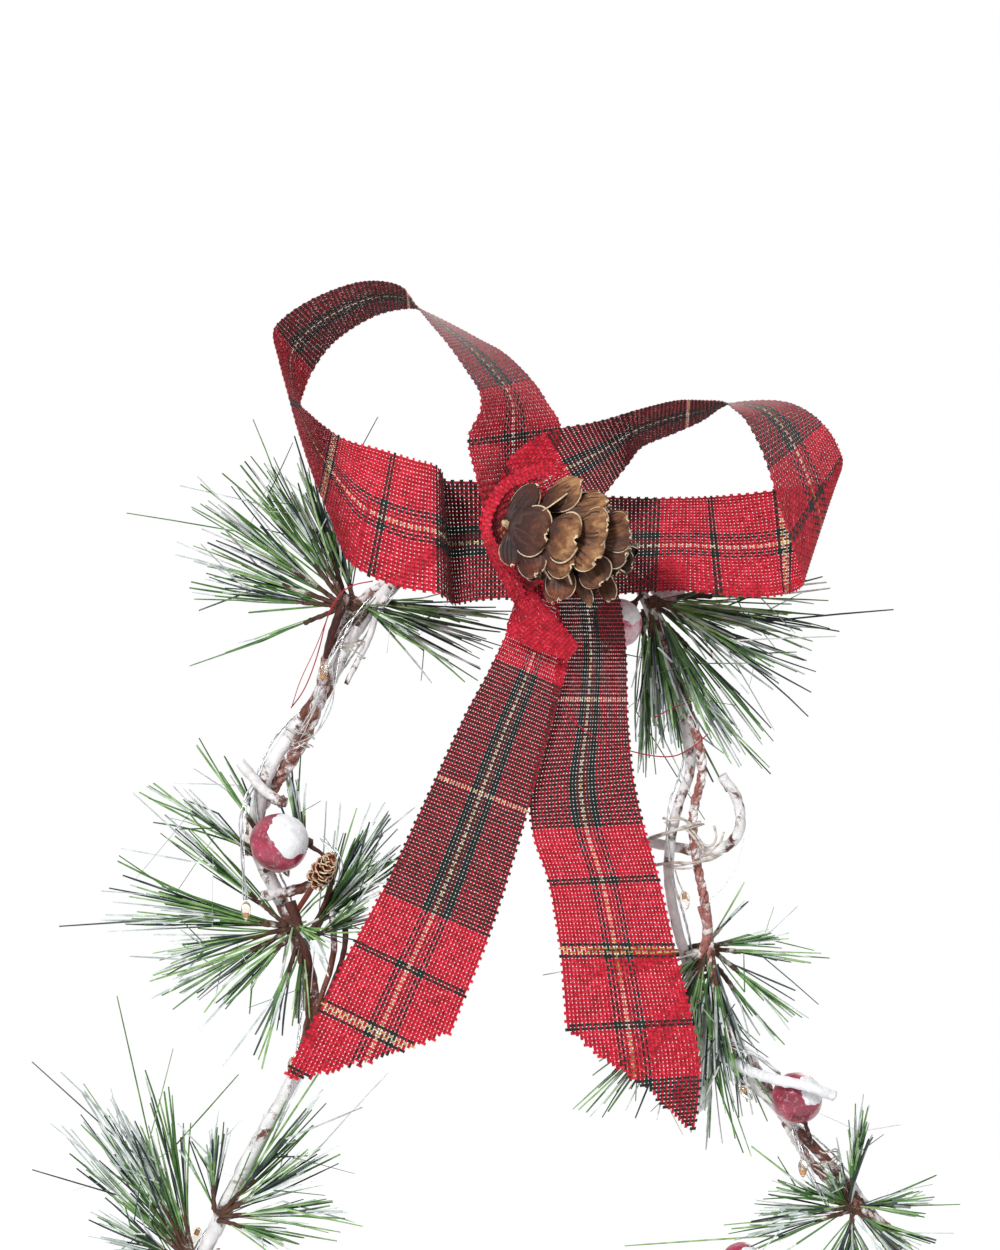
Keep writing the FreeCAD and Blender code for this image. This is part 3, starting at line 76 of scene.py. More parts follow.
# name, place, aim, size in metres, power in watts
LIGHTS = [
    ("key", (-0.7, -1.3, 1.3), (0, 0, 0.42), (0.3, 0.3), 25.0),
    ("fill", (1.1, -1.1, 0.7), (0, 0, 0.4), (0.8, 0.8), 4.0),
    ("rim", (0.6, 1.2, 1.2), (0, 0, 0.42), (0.8, 0.8), 9.0),
]
camera_data = bpy.data.cameras.new("camera")
camera = bpy.data.objects.new("camera", camera_data)
bpy.context.scene.collection.objects.link(camera)
camera.location = spot(*VIEW_PIXEL) - Vector((0, EYE_DISTANCE, 0))
camera.rotation_euler = (math.radians(90), 0, 0)
camera_data.sensor_fit = "VERTICAL"
camera_data.angle = 2 * math.atan(FRAME_PIXELS * PIXEL / 2 / EYE_DISTANCE)
camera_data.clip_start = CLIP_NEAR
bpy.context.scene.camera = camera
bpy.context.scene.view_settings.view_transform = "Standard"


def area_light(name, place, aim, size, power):
    data = bpy.data.lights.new(name, "AREA")
    data.shape = "RECTANGLE"
    data.size, data.size_y = size
    data.energy = power
    lamp = bpy.data.objects.new(name, data)
    lamp.location = place
    lamp.rotation_euler = (Vector(aim) - Vector(place)).to_track_quat("-Z", "Y").to_euler()
    bpy.context.scene.collection.objects.link(lamp)


for row in LIGHTS:
    area_light(*row)


def split_for_camera(tree, lit, shown, end):
    """The camera and the mirrors see one shader, while light falls on and from the other."""
    nodes, links = tree.nodes, tree.links
    path = nodes.new("ShaderNodeLightPath")
    either = nodes.new("ShaderNodeMath")
    either.operation = "MAXIMUM"
    links.new(path.outputs["Is Camera Ray"], either.inputs[0])
    links.new(path.outputs["Is Glossy Ray"], either.inputs[1])
    third = nodes.new("ShaderNodeMath")
    third.operation = "MAXIMUM"
    links.new(either.outputs[0], third.inputs[0])
    links.new(path.outputs["Is Transmission Ray"], third.inputs[1])
    mix = nodes.new("ShaderNodeMixShader")
    links.new(third.outputs[0], mix.inputs[0])
    links.new(lit.outputs[0], mix.inputs[1])
    links.new(shown.outputs[0], mix.inputs[2])
    links.new(mix.outputs[0], nodes[end].inputs["Surface"])


world = bpy.data.worlds.new("studio")
bpy.context.scene.world = world
world.use_nodes = True
world_nodes = world.node_tree
world_back = world_nodes.nodes["Background"]
world_back.inputs["Color"].default_value = (1, 1, 1, 1)
world_back.inputs["Strength"].default_value = WORLD_STRENGTH
white_back = world_nodes.nodes.new("ShaderNodeBackground")
white_back.inputs["Color"].default_value = (1, 1, 1, 1)
split_for_camera(world_nodes, world_back, white_back, "World Output")

floor_mesh = bpy.data.meshes.new("floor")
floor_mesh.from_pydata([(-FLOOR_HALF, -FLOOR_HALF, 0), (FLOOR_HALF, -FLOOR_HALF, 0),
                        (FLOOR_HALF, FLOOR_HALF, 0), (-FLOOR_HALF, FLOOR_HALF, 0)], [], [(0, 1, 2, 3)])
floor = bpy.data.objects.new("floor", floor_mesh)
bpy.context.scene.collection.objects.link(floor)
floor_paint = bpy.data.materials.new("floor_paint")
floor_paint.use_nodes = True
floor_nodes = floor_paint.node_tree
floor_shader = floor_nodes.nodes["Principled BSDF"]
floor_shader.inputs["Base Color"].default_value = (0.9, 0.9, 0.9, 1)
floor_shader.inputs["Roughness"].default_value = 0.8
floor_glow = floor_nodes.nodes.new("ShaderNodeEmission")
floor_glow.inputs["Strength"].default_value = FLOOR_GLOW
floor_sum = floor_nodes.nodes.new("ShaderNodeAddShader")
floor_nodes.links.new(floor_shader.outputs[0], floor_sum.inputs[0])
floor_nodes.links.new(floor_glow.outputs[0], floor_sum.inputs[1])
split_for_camera(floor_nodes, floor_shader, floor_sum, "Material Output")
floor_mesh.materials.append(floor_paint)


# Materials
def rgb(text):
    """Linear colour of an sRGB hex code."""
    found = []
    for at in (0, 2, 4):
        value = int(text[at:at + 2], 16) / 255
        found.append(value / 12.92 if value < 0.04045 else ((value + 0.055) / 1.055) ** 2.4)
    return (*found, 1)


class Paint:
    """A material under construction: a Principled shader with noise-driven colour and bump."""

    def __init__(self, name, rough=0.6, **sockets):
        self.material = bpy.data.materials.new(name)
        self.material.use_nodes = True
        self.nodes = self.material.node_tree.nodes
        self.links = self.material.node_tree.links
        self.shader = self.nodes["Principled BSDF"]
        self.shader.inputs["Roughness"].default_value = rough
        for key, value in sockets.items():
            self.shader.inputs[key.replace("_", " ")].default_value = value
        self.place = self.nodes.new("ShaderNodeTexCoord").outputs["Object"]
        self.height = None

    def node(self, kind, setting=None, links=(), **values):
        """A shader node with its operation, its linked inputs and its plain values."""
        node = self.nodes.new("ShaderNode" + kind)
        if setting:
            node.operation = setting
        for slot, value in values.items():
            node.inputs[slot].default_value = value
        for slot, source in links:
            self.links.new(source, node.inputs[slot])
        return node

    def noise(self, scale, detail=4, stretch=None, rough=0.6, distort=0.0):
        source = self.place
        if stretch:
            source = self.node("Mapping", None, [("Vector", source)], Scale=stretch).outputs["Vector"]
        node = self.node("TexNoise", None, [("Vector", source)], Scale=scale, Detail=detail,
                         Roughness=rough, Distortion=distort)
        return node.outputs["Fac"]

    def ramp(self, value, stops):
        """Colours along a value, as (place, hex) pairs."""
        node = self.node("ValToRGB", None, [("Fac", value)])
        elements = node.color_ramp.elements
        while len(elements) < len(stops):
            elements.new(0.5)
        for element, (place, tone) in zip(elements, stops):
            element.position = place
            element.color = rgb(tone) if isinstance(tone, str) else (tone, tone, tone, 1)
        return node.outputs["Color"]

    def mix(self, share, low, high):
        node = self.nodes.new("ShaderNodeMix")
        node.data_type = "RGBA"
        self.links.new(share, node.inputs[0])
        self.links.new(low, node.inputs[6])
        self.links.new(high, node.inputs[7])
        return node.outputs[2]

    def math(self, kind, first, second):
        node = self.node("Math", kind)
        for slot, value in enumerate((first, second)):
            if isinstance(value, (int, float)):
                node.inputs[slot].default_value = value
            else:
                self.links.new(value, node.inputs[slot])
        return node.outputs[0]

    def color(self, output):
        self.links.new(output, self.shader.inputs["Base Color"])

    def bump(self, value, distance, strength=0.6):
        node = self.node("Bump", None, [("Height", value)], Distance=distance, Strength=strength)
        if self.height:
            self.links.new(self.height, node.inputs["Normal"])
        self.height = node.outputs["Normal"]
        self.links.new(self.height, self.shader.inputs["Normal"])

    def distance_from_line(self, start, heading):
        """How far a point of the surface is from a straight line, in metres."""
        offset = self.node("VectorMath", "SUBTRACT", [(0, self.place)])
        offset.inputs[1].default_value = start
        cross = self.node("VectorMath", "CROSS_PRODUCT", [(0, offset.outputs[0])])
        cross.inputs[1].default_value = heading
        length = self.node("VectorMath", "LENGTH", [(0, cross.outputs[0])])
        return length.outputs["Value"]


def simple(name, stops, scale, rough, bump=0.0, stretch=None, fine=None, **sockets):
    """Noise between tones, with a finer noise as bump."""
    paint = Paint(name, rough, **sockets)
    tone = paint.noise(scale, stretch=stretch)
    paint.color(paint.ramp(tone, stops))
    if bump:
        paint.bump(paint.noise(fine or scale * 4, stretch=stretch), bump)
    return paint.material


SPUN_DEEP = 0.0001
FLAKE_DEEP = 0.0003
SKIN_DEEP = 0.0002


def thread_paint(name, dark, mid, light, rough=0.72):
    """Spun thread in three tones of one colour."""
    paint = Paint(name, rough, Sheen_Weight=0.25, Specular_IOR_Level=0.25)
    tone = paint.noise(420, detail=3)
    paint.color(paint.ramp(tone, [(0.28, dark), (0.5, mid), (0.74, light)]))
    paint.bump(paint.noise(2600, detail=2), SPUN_DEEP, 0.7)
    return paint.material


# Painted highlight and painted shade: the ribbon's one red comes as a darker copy for the warps and a
# lighter copy for the wefts, so that the weave shows lit floats and shaded gaps.
THREAD_RED_SHADED = thread_paint("thread_red_shaded", "7c0616", "a90b24", "c41833")
THREAD_RED_LIT = thread_paint("thread_red_lit", "a00b26", "cd1733", "e83e55")
THREAD_DARK = thread_paint("thread_dark", "080f0d", "121b18", "232f2a")
THREAD_GOLD = thread_paint("thread_gold", "6a4c1a", "a97f30", "dcbd68", 0.35)
THREAD_BROWN = thread_paint("thread_brown", "540e12", "74181c", "94282a")
TARTAN = [THREAD_RED_SHADED, THREAD_DARK, THREAD_GOLD, THREAD_BROWN, THREAD_RED_LIT]


def flaky_paint(name, wood, coat, cover, scale=260, scars=()):
    """Whitewash that has worn through to the bark, mostly so within a reach of some points."""
    paint = Paint(name, 0.75, Specular_IOR_Level=0.3)
    bark = paint.ramp(paint.noise(scale * 2, stretch=(1, 1, 0.5)), wood)
    wash = paint.ramp(paint.noise(scale * 0.8), coat)
    worn = paint.noise(scale * 0.42, detail=8, rough=0.7, distort=0.4)
    for place, reach in scars:
        away = paint.distance_from_line(place, AWAY)
        near = paint.ramp(away, [(reach * 0.6, 0.16), (reach, 0.0)])
        worn = paint.math("SUBTRACT", worn, near)
    share = paint.ramp(worn, [(cover - 0.03, 0.0), (cover + 0.03, 1.0)])
    paint.color(paint.mix(share, bark, wash))
    paint.bump(share, FLAKE_DEEP, 0.6)
    paint.bump(paint.noise(scale * 5), FLAKE_DEEP, 0.6)
    return paint.material


# Bark that shows through the whitewash: the pixel and the reach of each scar
SCAR_PIXELS = [
    (312, 985, 0.024), (318, 690, 0.012), (668, 660, 0.014), (820, 1150, 0.014), (905, 1290, 0.03),
    (150, 1500, 0.02),
]
WHITE_BARK = flaky_paint("white_bark", [(0.3, "4a2a24"), (0.6, "7c5044")],
                         [(0.3, "d2cfd0"), (0.6, "efeeee")], 0.42,
                         scars=[(spot(across, down), reach) for across, down, reach in SCAR_PIXELS])
TWISTED_ROPE = flaky_paint("twisted_rope", [(0.3, "7a3a36"), (0.65, "b57f76")],
                           [(0.35, "d9cfcd"), (0.6, "f0ebea")], 0.53, 520)
MOTTLED_ROPE = flaky_paint("mottled_rope", [(0.3, "6e3b33"), (0.65, "a5766a")],
                           [(0.35, "cbc3c2"), (0.6, "ebe8e8")], 0.5, 420)
MAROON_STEM = flaky_paint("maroon_stem", [(0.3, "2c1815"), (0.65, "59322b")],
                          [(0.35, "8f8582"), (0.6, "c9c3c1")], 0.62)
SPRIG_STEM = flaky_paint("sprig_stem", [(0.3, "33211a"), (0.65, "5c4032")],
                         [(0.35, "9fa08f"), (0.6, "dcdcd2")], 0.58)
RAFFIA = simple("raffia", [(0.3, "8f7f72"), (0.6, "d9d2ca")], 300, 0.8, 0.0002, (1, 1, 3))
SNOW = simple("snow", [(0.3, "dfe3ea"), (0.6, "fbfbfd")], 500, 0.85, 0.0004, fine=1500)
SILVER_WIRE = simple("silver_wire", [(0.3, "9b9c9e"), (0.7, "d9dadc")], 600, 0.3, 0.00005, Metallic=1.0)


def needle_paint(name, dark, mid, light):
    """Plastic needles in three tones of one colour."""
    paint = Paint(name, 0.5, Specular_IOR_Level=0.35)
    tone = paint.noise(160, detail=3)
    paint.color(paint.ramp(tone, [(0.3, dark), (0.5, mid), (0.7, light)]))
    return paint.material


NEEDLES = [
    needle_paint("needle_green", "2c4d22", "4a7438", "6f9a55"),
    needle_paint("needle_light", "5c8446", "86ab6d", "b5cfa2"),
    needle_paint("needle_dark", "171e20", "2c383a", "4c5c58"),
    needle_paint("needle_frost", "9caaa6", "c6d0cc", "edf1ef"),
]

BERRY_SKIN = Paint("berry_skin", 0.32, Coat_Weight=0.35, Coat_Roughness=0.22)
berry_tone = BERRY_SKIN.ramp(BERRY_SKIN.noise(110), [(0.3, "5e0a1e"), (0.5, "931a3c"), (0.7, "b8345a")])
berry_frost = BERRY_SKIN.ramp(BERRY_SKIN.noise(900, detail=3), [(0.56, 0.0), (0.7, 0.3)])
berry_snow = BERRY_SKIN.ramp(BERRY_SKIN.noise(50), [(0.4, "e6c6cf"), (0.6, "f6e9ee")])
BERRY_SKIN.color(BERRY_SKIN.mix(berry_frost, berry_tone, berry_snow))
BERRY_SKIN.bump(BERRY_SKIN.noise(1200), SKIN_DEEP, 0.4)
BERRY_SKIN = BERRY_SKIN.material
FROSTED_BERRY = simple("frosted_berry", [(0.34, "c4627c"), (0.5, "e6b4c0"), (0.64, "f7e6ea")], 260, 0.7,
                       0.0003, fine=1600)
BERRY_EYE = simple("berry_eye", [(0.3, "1c0d0c"), (0.7, "47201f")], 600, 0.7, 0.0002)


class Shape:
    """Vertices, faces and material slots of one piece while it is put together."""

    def __init__(self):
        self.verts = []
        self.faces = []
        self.slots = []

    def add(self, verts, faces, slot=0):
        base = len(self.verts)
        self.verts.extend(verts)
        self.faces.extend(tuple(base + i for i in face) for face in faces)
        if isinstance(slot, int):
            slot = [slot] * len(faces)
        self.slots.extend(slot)

    def build(self, name, materials, smooth=True, body="tree"):
        """A mesh object that rides on a body."""
        mesh = bpy.data.meshes.new(name)
        mesh.from_pydata([tuple(v) for v in self.verts], [], self.faces)
        for material in materials:
            mesh.materials.append(material)
        mesh.polygons.foreach_set("material_index", self.slots)
        mesh.polygons.foreach_set("use_smooth", [smooth] * len(mesh.polygons))
        mesh.update()
        thing = bpy.data.objects.new(name, mesh)
        bpy.context.scene.collection.objects.link(thing)
        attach(thing, body)
        return thing


def ring_faces(rings, sides, caps=False, flip=False):
    """Quads between rings of points, and the faces that close both ends."""
    faces = []
    for ring in range(rings):
        for turn in range(sides):
            a = ring * sides + turn
            b = ring * sides + (turn + 1) % sides
            faces.append((a, a + sides, b + sides, b) if flip else (a, b, b + sides, a + sides))
    if caps:
        faces += [tuple(range(sides))[::-1], tuple(rings * sides + turn for turn in range(sides))]
    return faces


# Paths and tubes
BARK_GRAIN = 420
FIBRE_GRAIN = 900


def distances_along(array):
    """How far along a path each of its points lies."""
    return np.concatenate([[0], np.cumsum(np.linalg.norm(np.diff(array, axis=0), axis=1))])


def places_at(at, along, array):
    """The points of a path at some distances along it."""
    return np.stack([np.interp(at, along, array[:, k]) for k in range(3)], axis=1)


def nearest(path, place):
    """The point of a path that lies nearest to a place."""
    return min(path, key=lambda point: (point - place).length)


def smooth_path(points, rounds=4):
    """The points' curve: corners are cut, so that the path keeps to the middle of each run."""
    points = [Vector(p) for p in points]
    for _ in range(rounds):
        cut = [points[0]]
        for a, b in zip(points, points[1:]):
            cut += [a * 0.75 + b * 0.25, a * 0.25 + b * 0.75]
        cut.append(points[-1])
        points = cut
    return points


def even_path(points, step):
    """The path again, with points a step apart."""
    array = np.array([tuple(p) for p in points])
    along = distances_along(array)
    count = max(2, int(round(along[-1] / step)) + 1)
    at = np.linspace(0, along[-1], count)
    return [Vector(p) for p in places_at(at, along, array)]


def path_frames(points):
    """A heading and two sides at each point, without twist."""
    frames = []
    side = None
    for index, point in enumerate(points):
        before = points[max(index - 1, 0)]
        after = points[min(index + 1, len(points) - 1)]
        heading = (after - before).normalized()
        if side is None:
            side = heading.cross(AWAY)
            if side.length < 0.1:
                side = heading.cross(Vector((1, 0, 0)))
        side = (side - heading * side.dot(heading)).normalized()
        frames.append((heading, side, heading.cross(side)))
    return frames


def tube_into(shape, points, radius, sides=8, slot=0, rough=0.0, grain=300):
    """A tube along points. radius is a number or a function of the share of its length."""
    frames = path_frames(points)
    verts = []
    last = len(points) - 1
    for index, (point, (heading, side, up)) in enumerate(zip(points, frames)):
        wide = radius(index / last) if callable(radius) else radius
        for turn in range(sides):
            angle = 2 * math.pi * turn / sides
            way = side * math.cos(angle) + up * math.sin(angle)
            reach = wide
            if rough:
                reach *= 1 + rough * noise.noise((point + way * wide) * grain)
            verts.append(point + way * reach)
    shape.add(verts, ring_faces(last, sides, caps=True), slot)


KNOT_WIDE_SHARES = (0.004, 0.012)
KNOT_HIGH_SHARES = (0.08, 0.22)
TENDRIL_STEP = 0.0008


def stalk(name, rows, unit, thick, material, nodes, step=0.0014, rough=0.16, sides=14):
    """A woody vine with knots and uneven thickness."""
    path = even_path(smooth_path(spots(rows, unit)), step)
    rng = random.Random(name)
    knots = [(rng.random(), rng.uniform(*KNOT_WIDE_SHARES), rng.uniform(*KNOT_HIGH_SHARES))
             for _ in range(max(3, len(path) // 60))]
    phase = rng.uniform(0, 100)

    def radius(share):
        swell = sum(high * math.exp(-((share - at) / wide) ** 2) for at, wide, high in knots)
        return thick / 2 * (0.94 + 0.08 * noise.noise(Vector((share * 40, phase, 0))) + swell)

    shape = Shape()
    tube_into(shape, path, radius, sides, 0, rough, BARK_GRAIN)
    piece = shape.build(name, [material])
    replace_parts(piece, *nodes)
    return path


STRAND_STEP = 0.0009
STRAND_SHARE = 0.5


def strands_along(path, step, strands, lay, reach, wander=0.0):
    """The middle lines of strands that are laid round each other."""
    path = even_path(path, step)
    frames = path_frames(path)
    found = []
    for number in range(strands):
        points = []
        for index, (point, (_, side, up)) in enumerate(zip(path, frames)):
            angle = 2 * math.pi * (number / strands + index * step / lay)
            sway = reach + wander * noise.noise(Vector((index * 0.07, number * 9.1, 0)))
            points.append(point + (side * math.cos(angle) + up * math.sin(angle)) * sway)
        found.append(points)
    return found


def rope(name, path, thick, material, node, strands=3, lay=0.009):
    """Strands of twisted paper, laid round each other."""
    shape = Shape()
    strand = thick / 2 * STRAND_SHARE
    for points in strands_along(path, STRAND_STEP, strands, lay, thick / 2 - strand):
        tube_into(shape, points, strand, 8, 0, 0.3, FIBRE_GRAIN)
    piece = shape.build(name, [material])
    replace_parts(piece, node)


LEFT_VINE_PIXELS = [
    (562, 497, 1.3), (505, 518, 1.3), (450, 545, 1.0), (398, 577, 0.6), (352, 632, 0), (326, 690, 0),
    (286, 738, 0), (258, 790, 0), (254, 848, 0), (281, 900, 0), (305, 955, 0.2), (316, 1010, 0.3),
    (300, 1070, 0.3), (253, 1150, 0.1), (214, 1232, 0), (178, 1305, 0), (140, 1372, 0), (126, 1440, 0),
    (155, 1505, 0), (200, 1565, 0), (205, 1638, 0), (162, 1722, 0), (104, 1800, 0), (68, 1856, 0),
    (70, 1890, 0), (98, 1914, 0), (160, 1922, 0), (270, 1910, 0), (390, 1917, 0), (470, 1914, 0),
    (523.4, 1914, 0),
]
RIGHT_VINE_PIXELS = [
    (514, 507, 0), (568, 520, 0), (618, 555, 0), (653, 610, 0), (676, 690, 0), (696, 762, 0),
    (674, 812, 0), (666, 880, 0), (684, 955, 0), (704, 1012, 0), (742, 1070, 0), (798, 1130, 0),
    (840, 1175, 0), (885, 1228, 0), (922, 1300, 0), (950, 1372, 0), (958, 1440, 0), (928, 1505, 0),
    (884, 1565, 0), (872, 1638, 0), (908, 1722, 0), (962, 1800, 0), (994, 1856, 0), (992, 1890, 0),
    (964, 1914, 0), (900, 1921, 0), (790, 1909, 0), (670, 1917, 0), (585, 1914, 0), (526.6, 1914, 0),
]
left_vine = stalk("vine_left", LEFT_VINE_PIXELS, VINE, VINE, WHITE_BARK, ["left_vine"])
right_vine = stalk("vine_right", RIGHT_VINE_PIXELS, VINE, STEM, WHITE_BARK, ["right_vine"])

TENDRIL_PIXELS = {
    "right_curl": [(640, 842, 0.95), (668, 845, 0.95), (702, 853, 0.9), (728, 848, 0.7), (740, 832, 0.3),
                   (741, 812, 0), (735, 793, -0.3), (722, 776, -0.6)],
    "right_tendril": [(694, 1036, -0.8), (722, 1057, -0.76), (744, 1069, -0.84), (757, 1074, -1.6),
                      (776, 1080, -3.7), (808, 1086, -4.7), (834, 1096, -4.0)],
    "left_spur": [(258, 897, -0.98), (290, 892, -0.98), (314, 884, -1.1)],
    "left_tendril": [(240, 762, -1.12), (262, 789, -1.2), (276, 800, -1.5), (286, 803, -1.7)],
}
for name, rows in TENDRIL_PIXELS.items():
    paint = SNOW if name == "right_tendril" else WHITE_BARK
    stalk(name + "_wood", rows, VINE, STEM, paint, [name], TENDRIL_STEP, 0.2, 12)

RIGHT_ROPE_PIXELS = [
    (664, 640, -1.0), (690, 712, -1.0), (706, 768, -0.8), (691, 812, -0.8), (696, 862, -0.6),
    (706, 905, -0.6), (710, 950, -0.8), (712, 990, -1.0), (736, 1050, -1.0),
]
RIGHT_LAY = 0.011
LEFT_LAY = 0.016
right_route = smooth_path(spots(RIGHT_ROPE_PIXELS, VINE))
rope("rope_right", right_route, ROPE, TWISTED_ROPE, "right_rope", lay=RIGHT_LAY)


# Wound things beside the vines
TWIST_PITCH = 0.090
TWIST_STEP = 0.008
TRIM_GAP = 0.0005
RUN_SHARE = 0.45
LEFT_PHASE_SHARE = 0.1
RIGHT_PHASE_SHARE = 0.19


def rounded_path(points, per_arc=10):
    """Straight runs joined by tangent arcs, as dense points."""
    found = [points[0]]
    for before, corner, after in zip(points, points[1:], points[2:]):
        come = (corner - before).normalized()
        leave = (after - corner).normalized()
        turn = come.angle(leave)
        if turn < math.radians(0.4):
            continue
        trim = RUN_SHARE * min((corner - before).length, (after - corner).length)
        radius = trim / math.tan(turn / 2)
        centre = corner + (leave - come).normalized() * (radius / math.cos(turn / 2))
        start = corner - come * trim - centre
        side = start.normalized()
        for step in range(per_arc + 1):
            angle = turn * step / per_arc
            found.append(centre + (side * math.cos(angle) + come * math.sin(angle)) * radius)
    found.append(points[-1])
    return found


def marks_on(points, step):
    """Evenly spaced places, each with its direction and its distance."""
    dense = rounded_path(points)
    array = np.array([tuple(p) for p in dense])
    along = distances_along(array)
    count = max(2, int(along[-1] / step))
    at = np.linspace(0, along[-1], count + 1)
    places = [Vector(p) for p in places_at(at, along, array)]
    found = []
    for index, place in enumerate(places):
        before = places[max(index - 1, 0)]
        after = places[min(index + 1, count)]
        found.append((place, (after - before).normalized(), along[-1] * index / count))
    return found


def outward(mark, phase_share):
    """The way out from the vine at a mark, which turns round it along its length."""
    place, heading, distance = mark
    angle = 2 * math.pi * (phase_share + distance / TWIST_PITCH)
    side = heading.cross(AWAY).normalized()
    return side * math.cos(angle) + AWAY * math.sin(angle)


def companion(marks, reach, phase_share, first_share, last_share):
    """The places beside a vine, between two shares of its length, where a wound thing runs."""
    full = marks[-1][2]
    return [mark[0] + outward(mark, phase_share) * reach for mark in marks
            if first_share * full <= mark[2] <= last_share * full]


left_marks = marks_on(spots(LEFT_VINE_PIXELS, VINE), TWIST_STEP)
right_marks = marks_on(spots(RIGHT_VINE_PIXELS, VINE), TWIST_STEP)
LEFT_REACH = (VINE + ROPE) / 2 + 1.6 * TRIM_GAP
RIGHT_REACH = (STEM + ROPE) / 2 + 1.6 * TRIM_GAP
rope("rope_left", smooth_path(companion(left_marks, LEFT_REACH, LEFT_PHASE_SHARE + 0.5, 0.075, 0.245)),
     1.5 * ROPE, MOTTLED_ROPE, "left_rope", lay=LEFT_LAY)
rope("rope_left_low", smooth_path(companion(left_marks, LEFT_REACH, LEFT_PHASE_SHARE + 0.5, 0.43, 0.7)),
     ROPE, MOTTLED_ROPE, "left_low_rope")
rope("rope_right_low",
     smooth_path(companion(right_marks, RIGHT_REACH, RIGHT_PHASE_SHARE + 0.5, 0.315, 0.72)),
     ROPE, MOTTLED_ROPE, "right_low_rope")

# Strings of lamps: twisted hair wires with drops of clear resin
LAMP_WIRE = 0.0009
HAIR = 0.00017
LAMP_WIDE = 0.0034
LAMP_LONG = 0.0064
LAMP_EVERY = 8
SPARE_MARKS = 4
BOUGH = Vector((0, 0, 246 * PIXEL))
SLEEVE_BACK = 0.0115
SLEEVE_WIDE = 0.004
SLEEVE_RISE = 0.0138
BEND_ASIDE = 0.009
HAIR_STEP = 0.0016
HAIR_REACH = 0.00026
FIT_GAP = 0.0001
CHIP_BACK = 0.0012
CHIP_HALF = 0.0008
CHIP_RADIUS = 0.0006
SLEEVE_TOP = BOUGH + AWAY * SLEEVE_BACK + UPWARD * SLEEVE_RISE


def hair_bundle(shape, path, reach, strands=3, lay=0.012, thick=HAIR, wander=0.0002):
    """Hair wires laid loosely round each other."""
    for points in strands_along(path, HAIR_STEP, strands, lay, reach, wander):
        tube_into(shape, points, thick, 5)


RESIN = Paint("resin", 0.06, IOR=1.48, Transmission_Weight=0.92, Specular_IOR_Level=0.5)
RESIN.color(RESIN.ramp(RESIN.noise(300), [(0.3, "f4ecd8"), (0.7, "fffdf6")]))
RESIN = RESIN.material
AMBER = simple("amber", [(0.3, "b86a1c"), (0.7, "e0a040")], 900, 0.35)


def drop_into(shape, place, heading):
    """A drop of resin that runs out along its wire at both ends."""
    side = heading.cross(AWAY).normalized()
    up = heading.cross(side)
    rings = 12
    sides = 12
    verts = []
    for ring in range(rings + 1):
        share = ring / rings
        belly = math.sin(math.pi * share) ** 0.62 * (0.9 + 0.16 * math.cos(math.pi * share))
        wide = LAMP_WIDE / 2 * (belly + 0.03)
        for turn in range(sides):
            angle = 2 * math.pi * turn / sides
            verts.append(place + heading * (LAMP_LONG * (share - 0.5))
                         + (side * math.cos(angle) + up * math.sin(angle)) * wide)
    shape.add(verts, ring_faces(rings, sides, caps=True))


for side_name, marks, main, phase, sign in (("left", left_marks, VINE, LEFT_PHASE_SHARE, -1),
                                            ("right", right_marks, STEM, RIGHT_PHASE_SHARE, 1)):
    near = (main + LAMP_WIRE) / 2 + 1.7 * TRIM_GAP
    far = near + (LAMP_WIRE + LAMP_WIDE) / 2 + FIT_GAP
    chosen = marks[-SPARE_MARKS:SPARE_MARKS:-1]
    top = SLEEVE_TOP + Vector((sign * SLEEVE_WIDE / 4, 0, 0))
    rise = UPWARD * (3 * LAMP_WIRE)
    route = [top, top + rise, top + rise + Vector((sign * BEND_ASIDE, 0, 0))]
    route += [mark[0] + outward(mark, phase) * near for mark in chosen]
    hairs = Shape()
    hair_bundle(hairs, smooth_path(route), HAIR_REACH)
    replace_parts(hairs.build(f"hair_wires_{side_name}", [SILVER_WIRE]), f"lamp_wire_{side_name}")
    drops = Shape()
    chips = Shape()
    for mark in chosen[LAMP_EVERY // 2::LAMP_EVERY]:
        place = mark[0] + outward(mark, phase) * far
        drop_into(drops, place, mark[1])
        low = place - mark[1] * CHIP_BACK
        tube_into(chips, [low - mark[1] * CHIP_HALF, low, low + mark[1] * CHIP_HALF], CHIP_RADIUS, 6)
    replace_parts(drops.build(f"drops_{side_name}", [RESIN]), f"lamps_{side_name}")
    chips.build(f"chips_{side_name}", [AMBER])

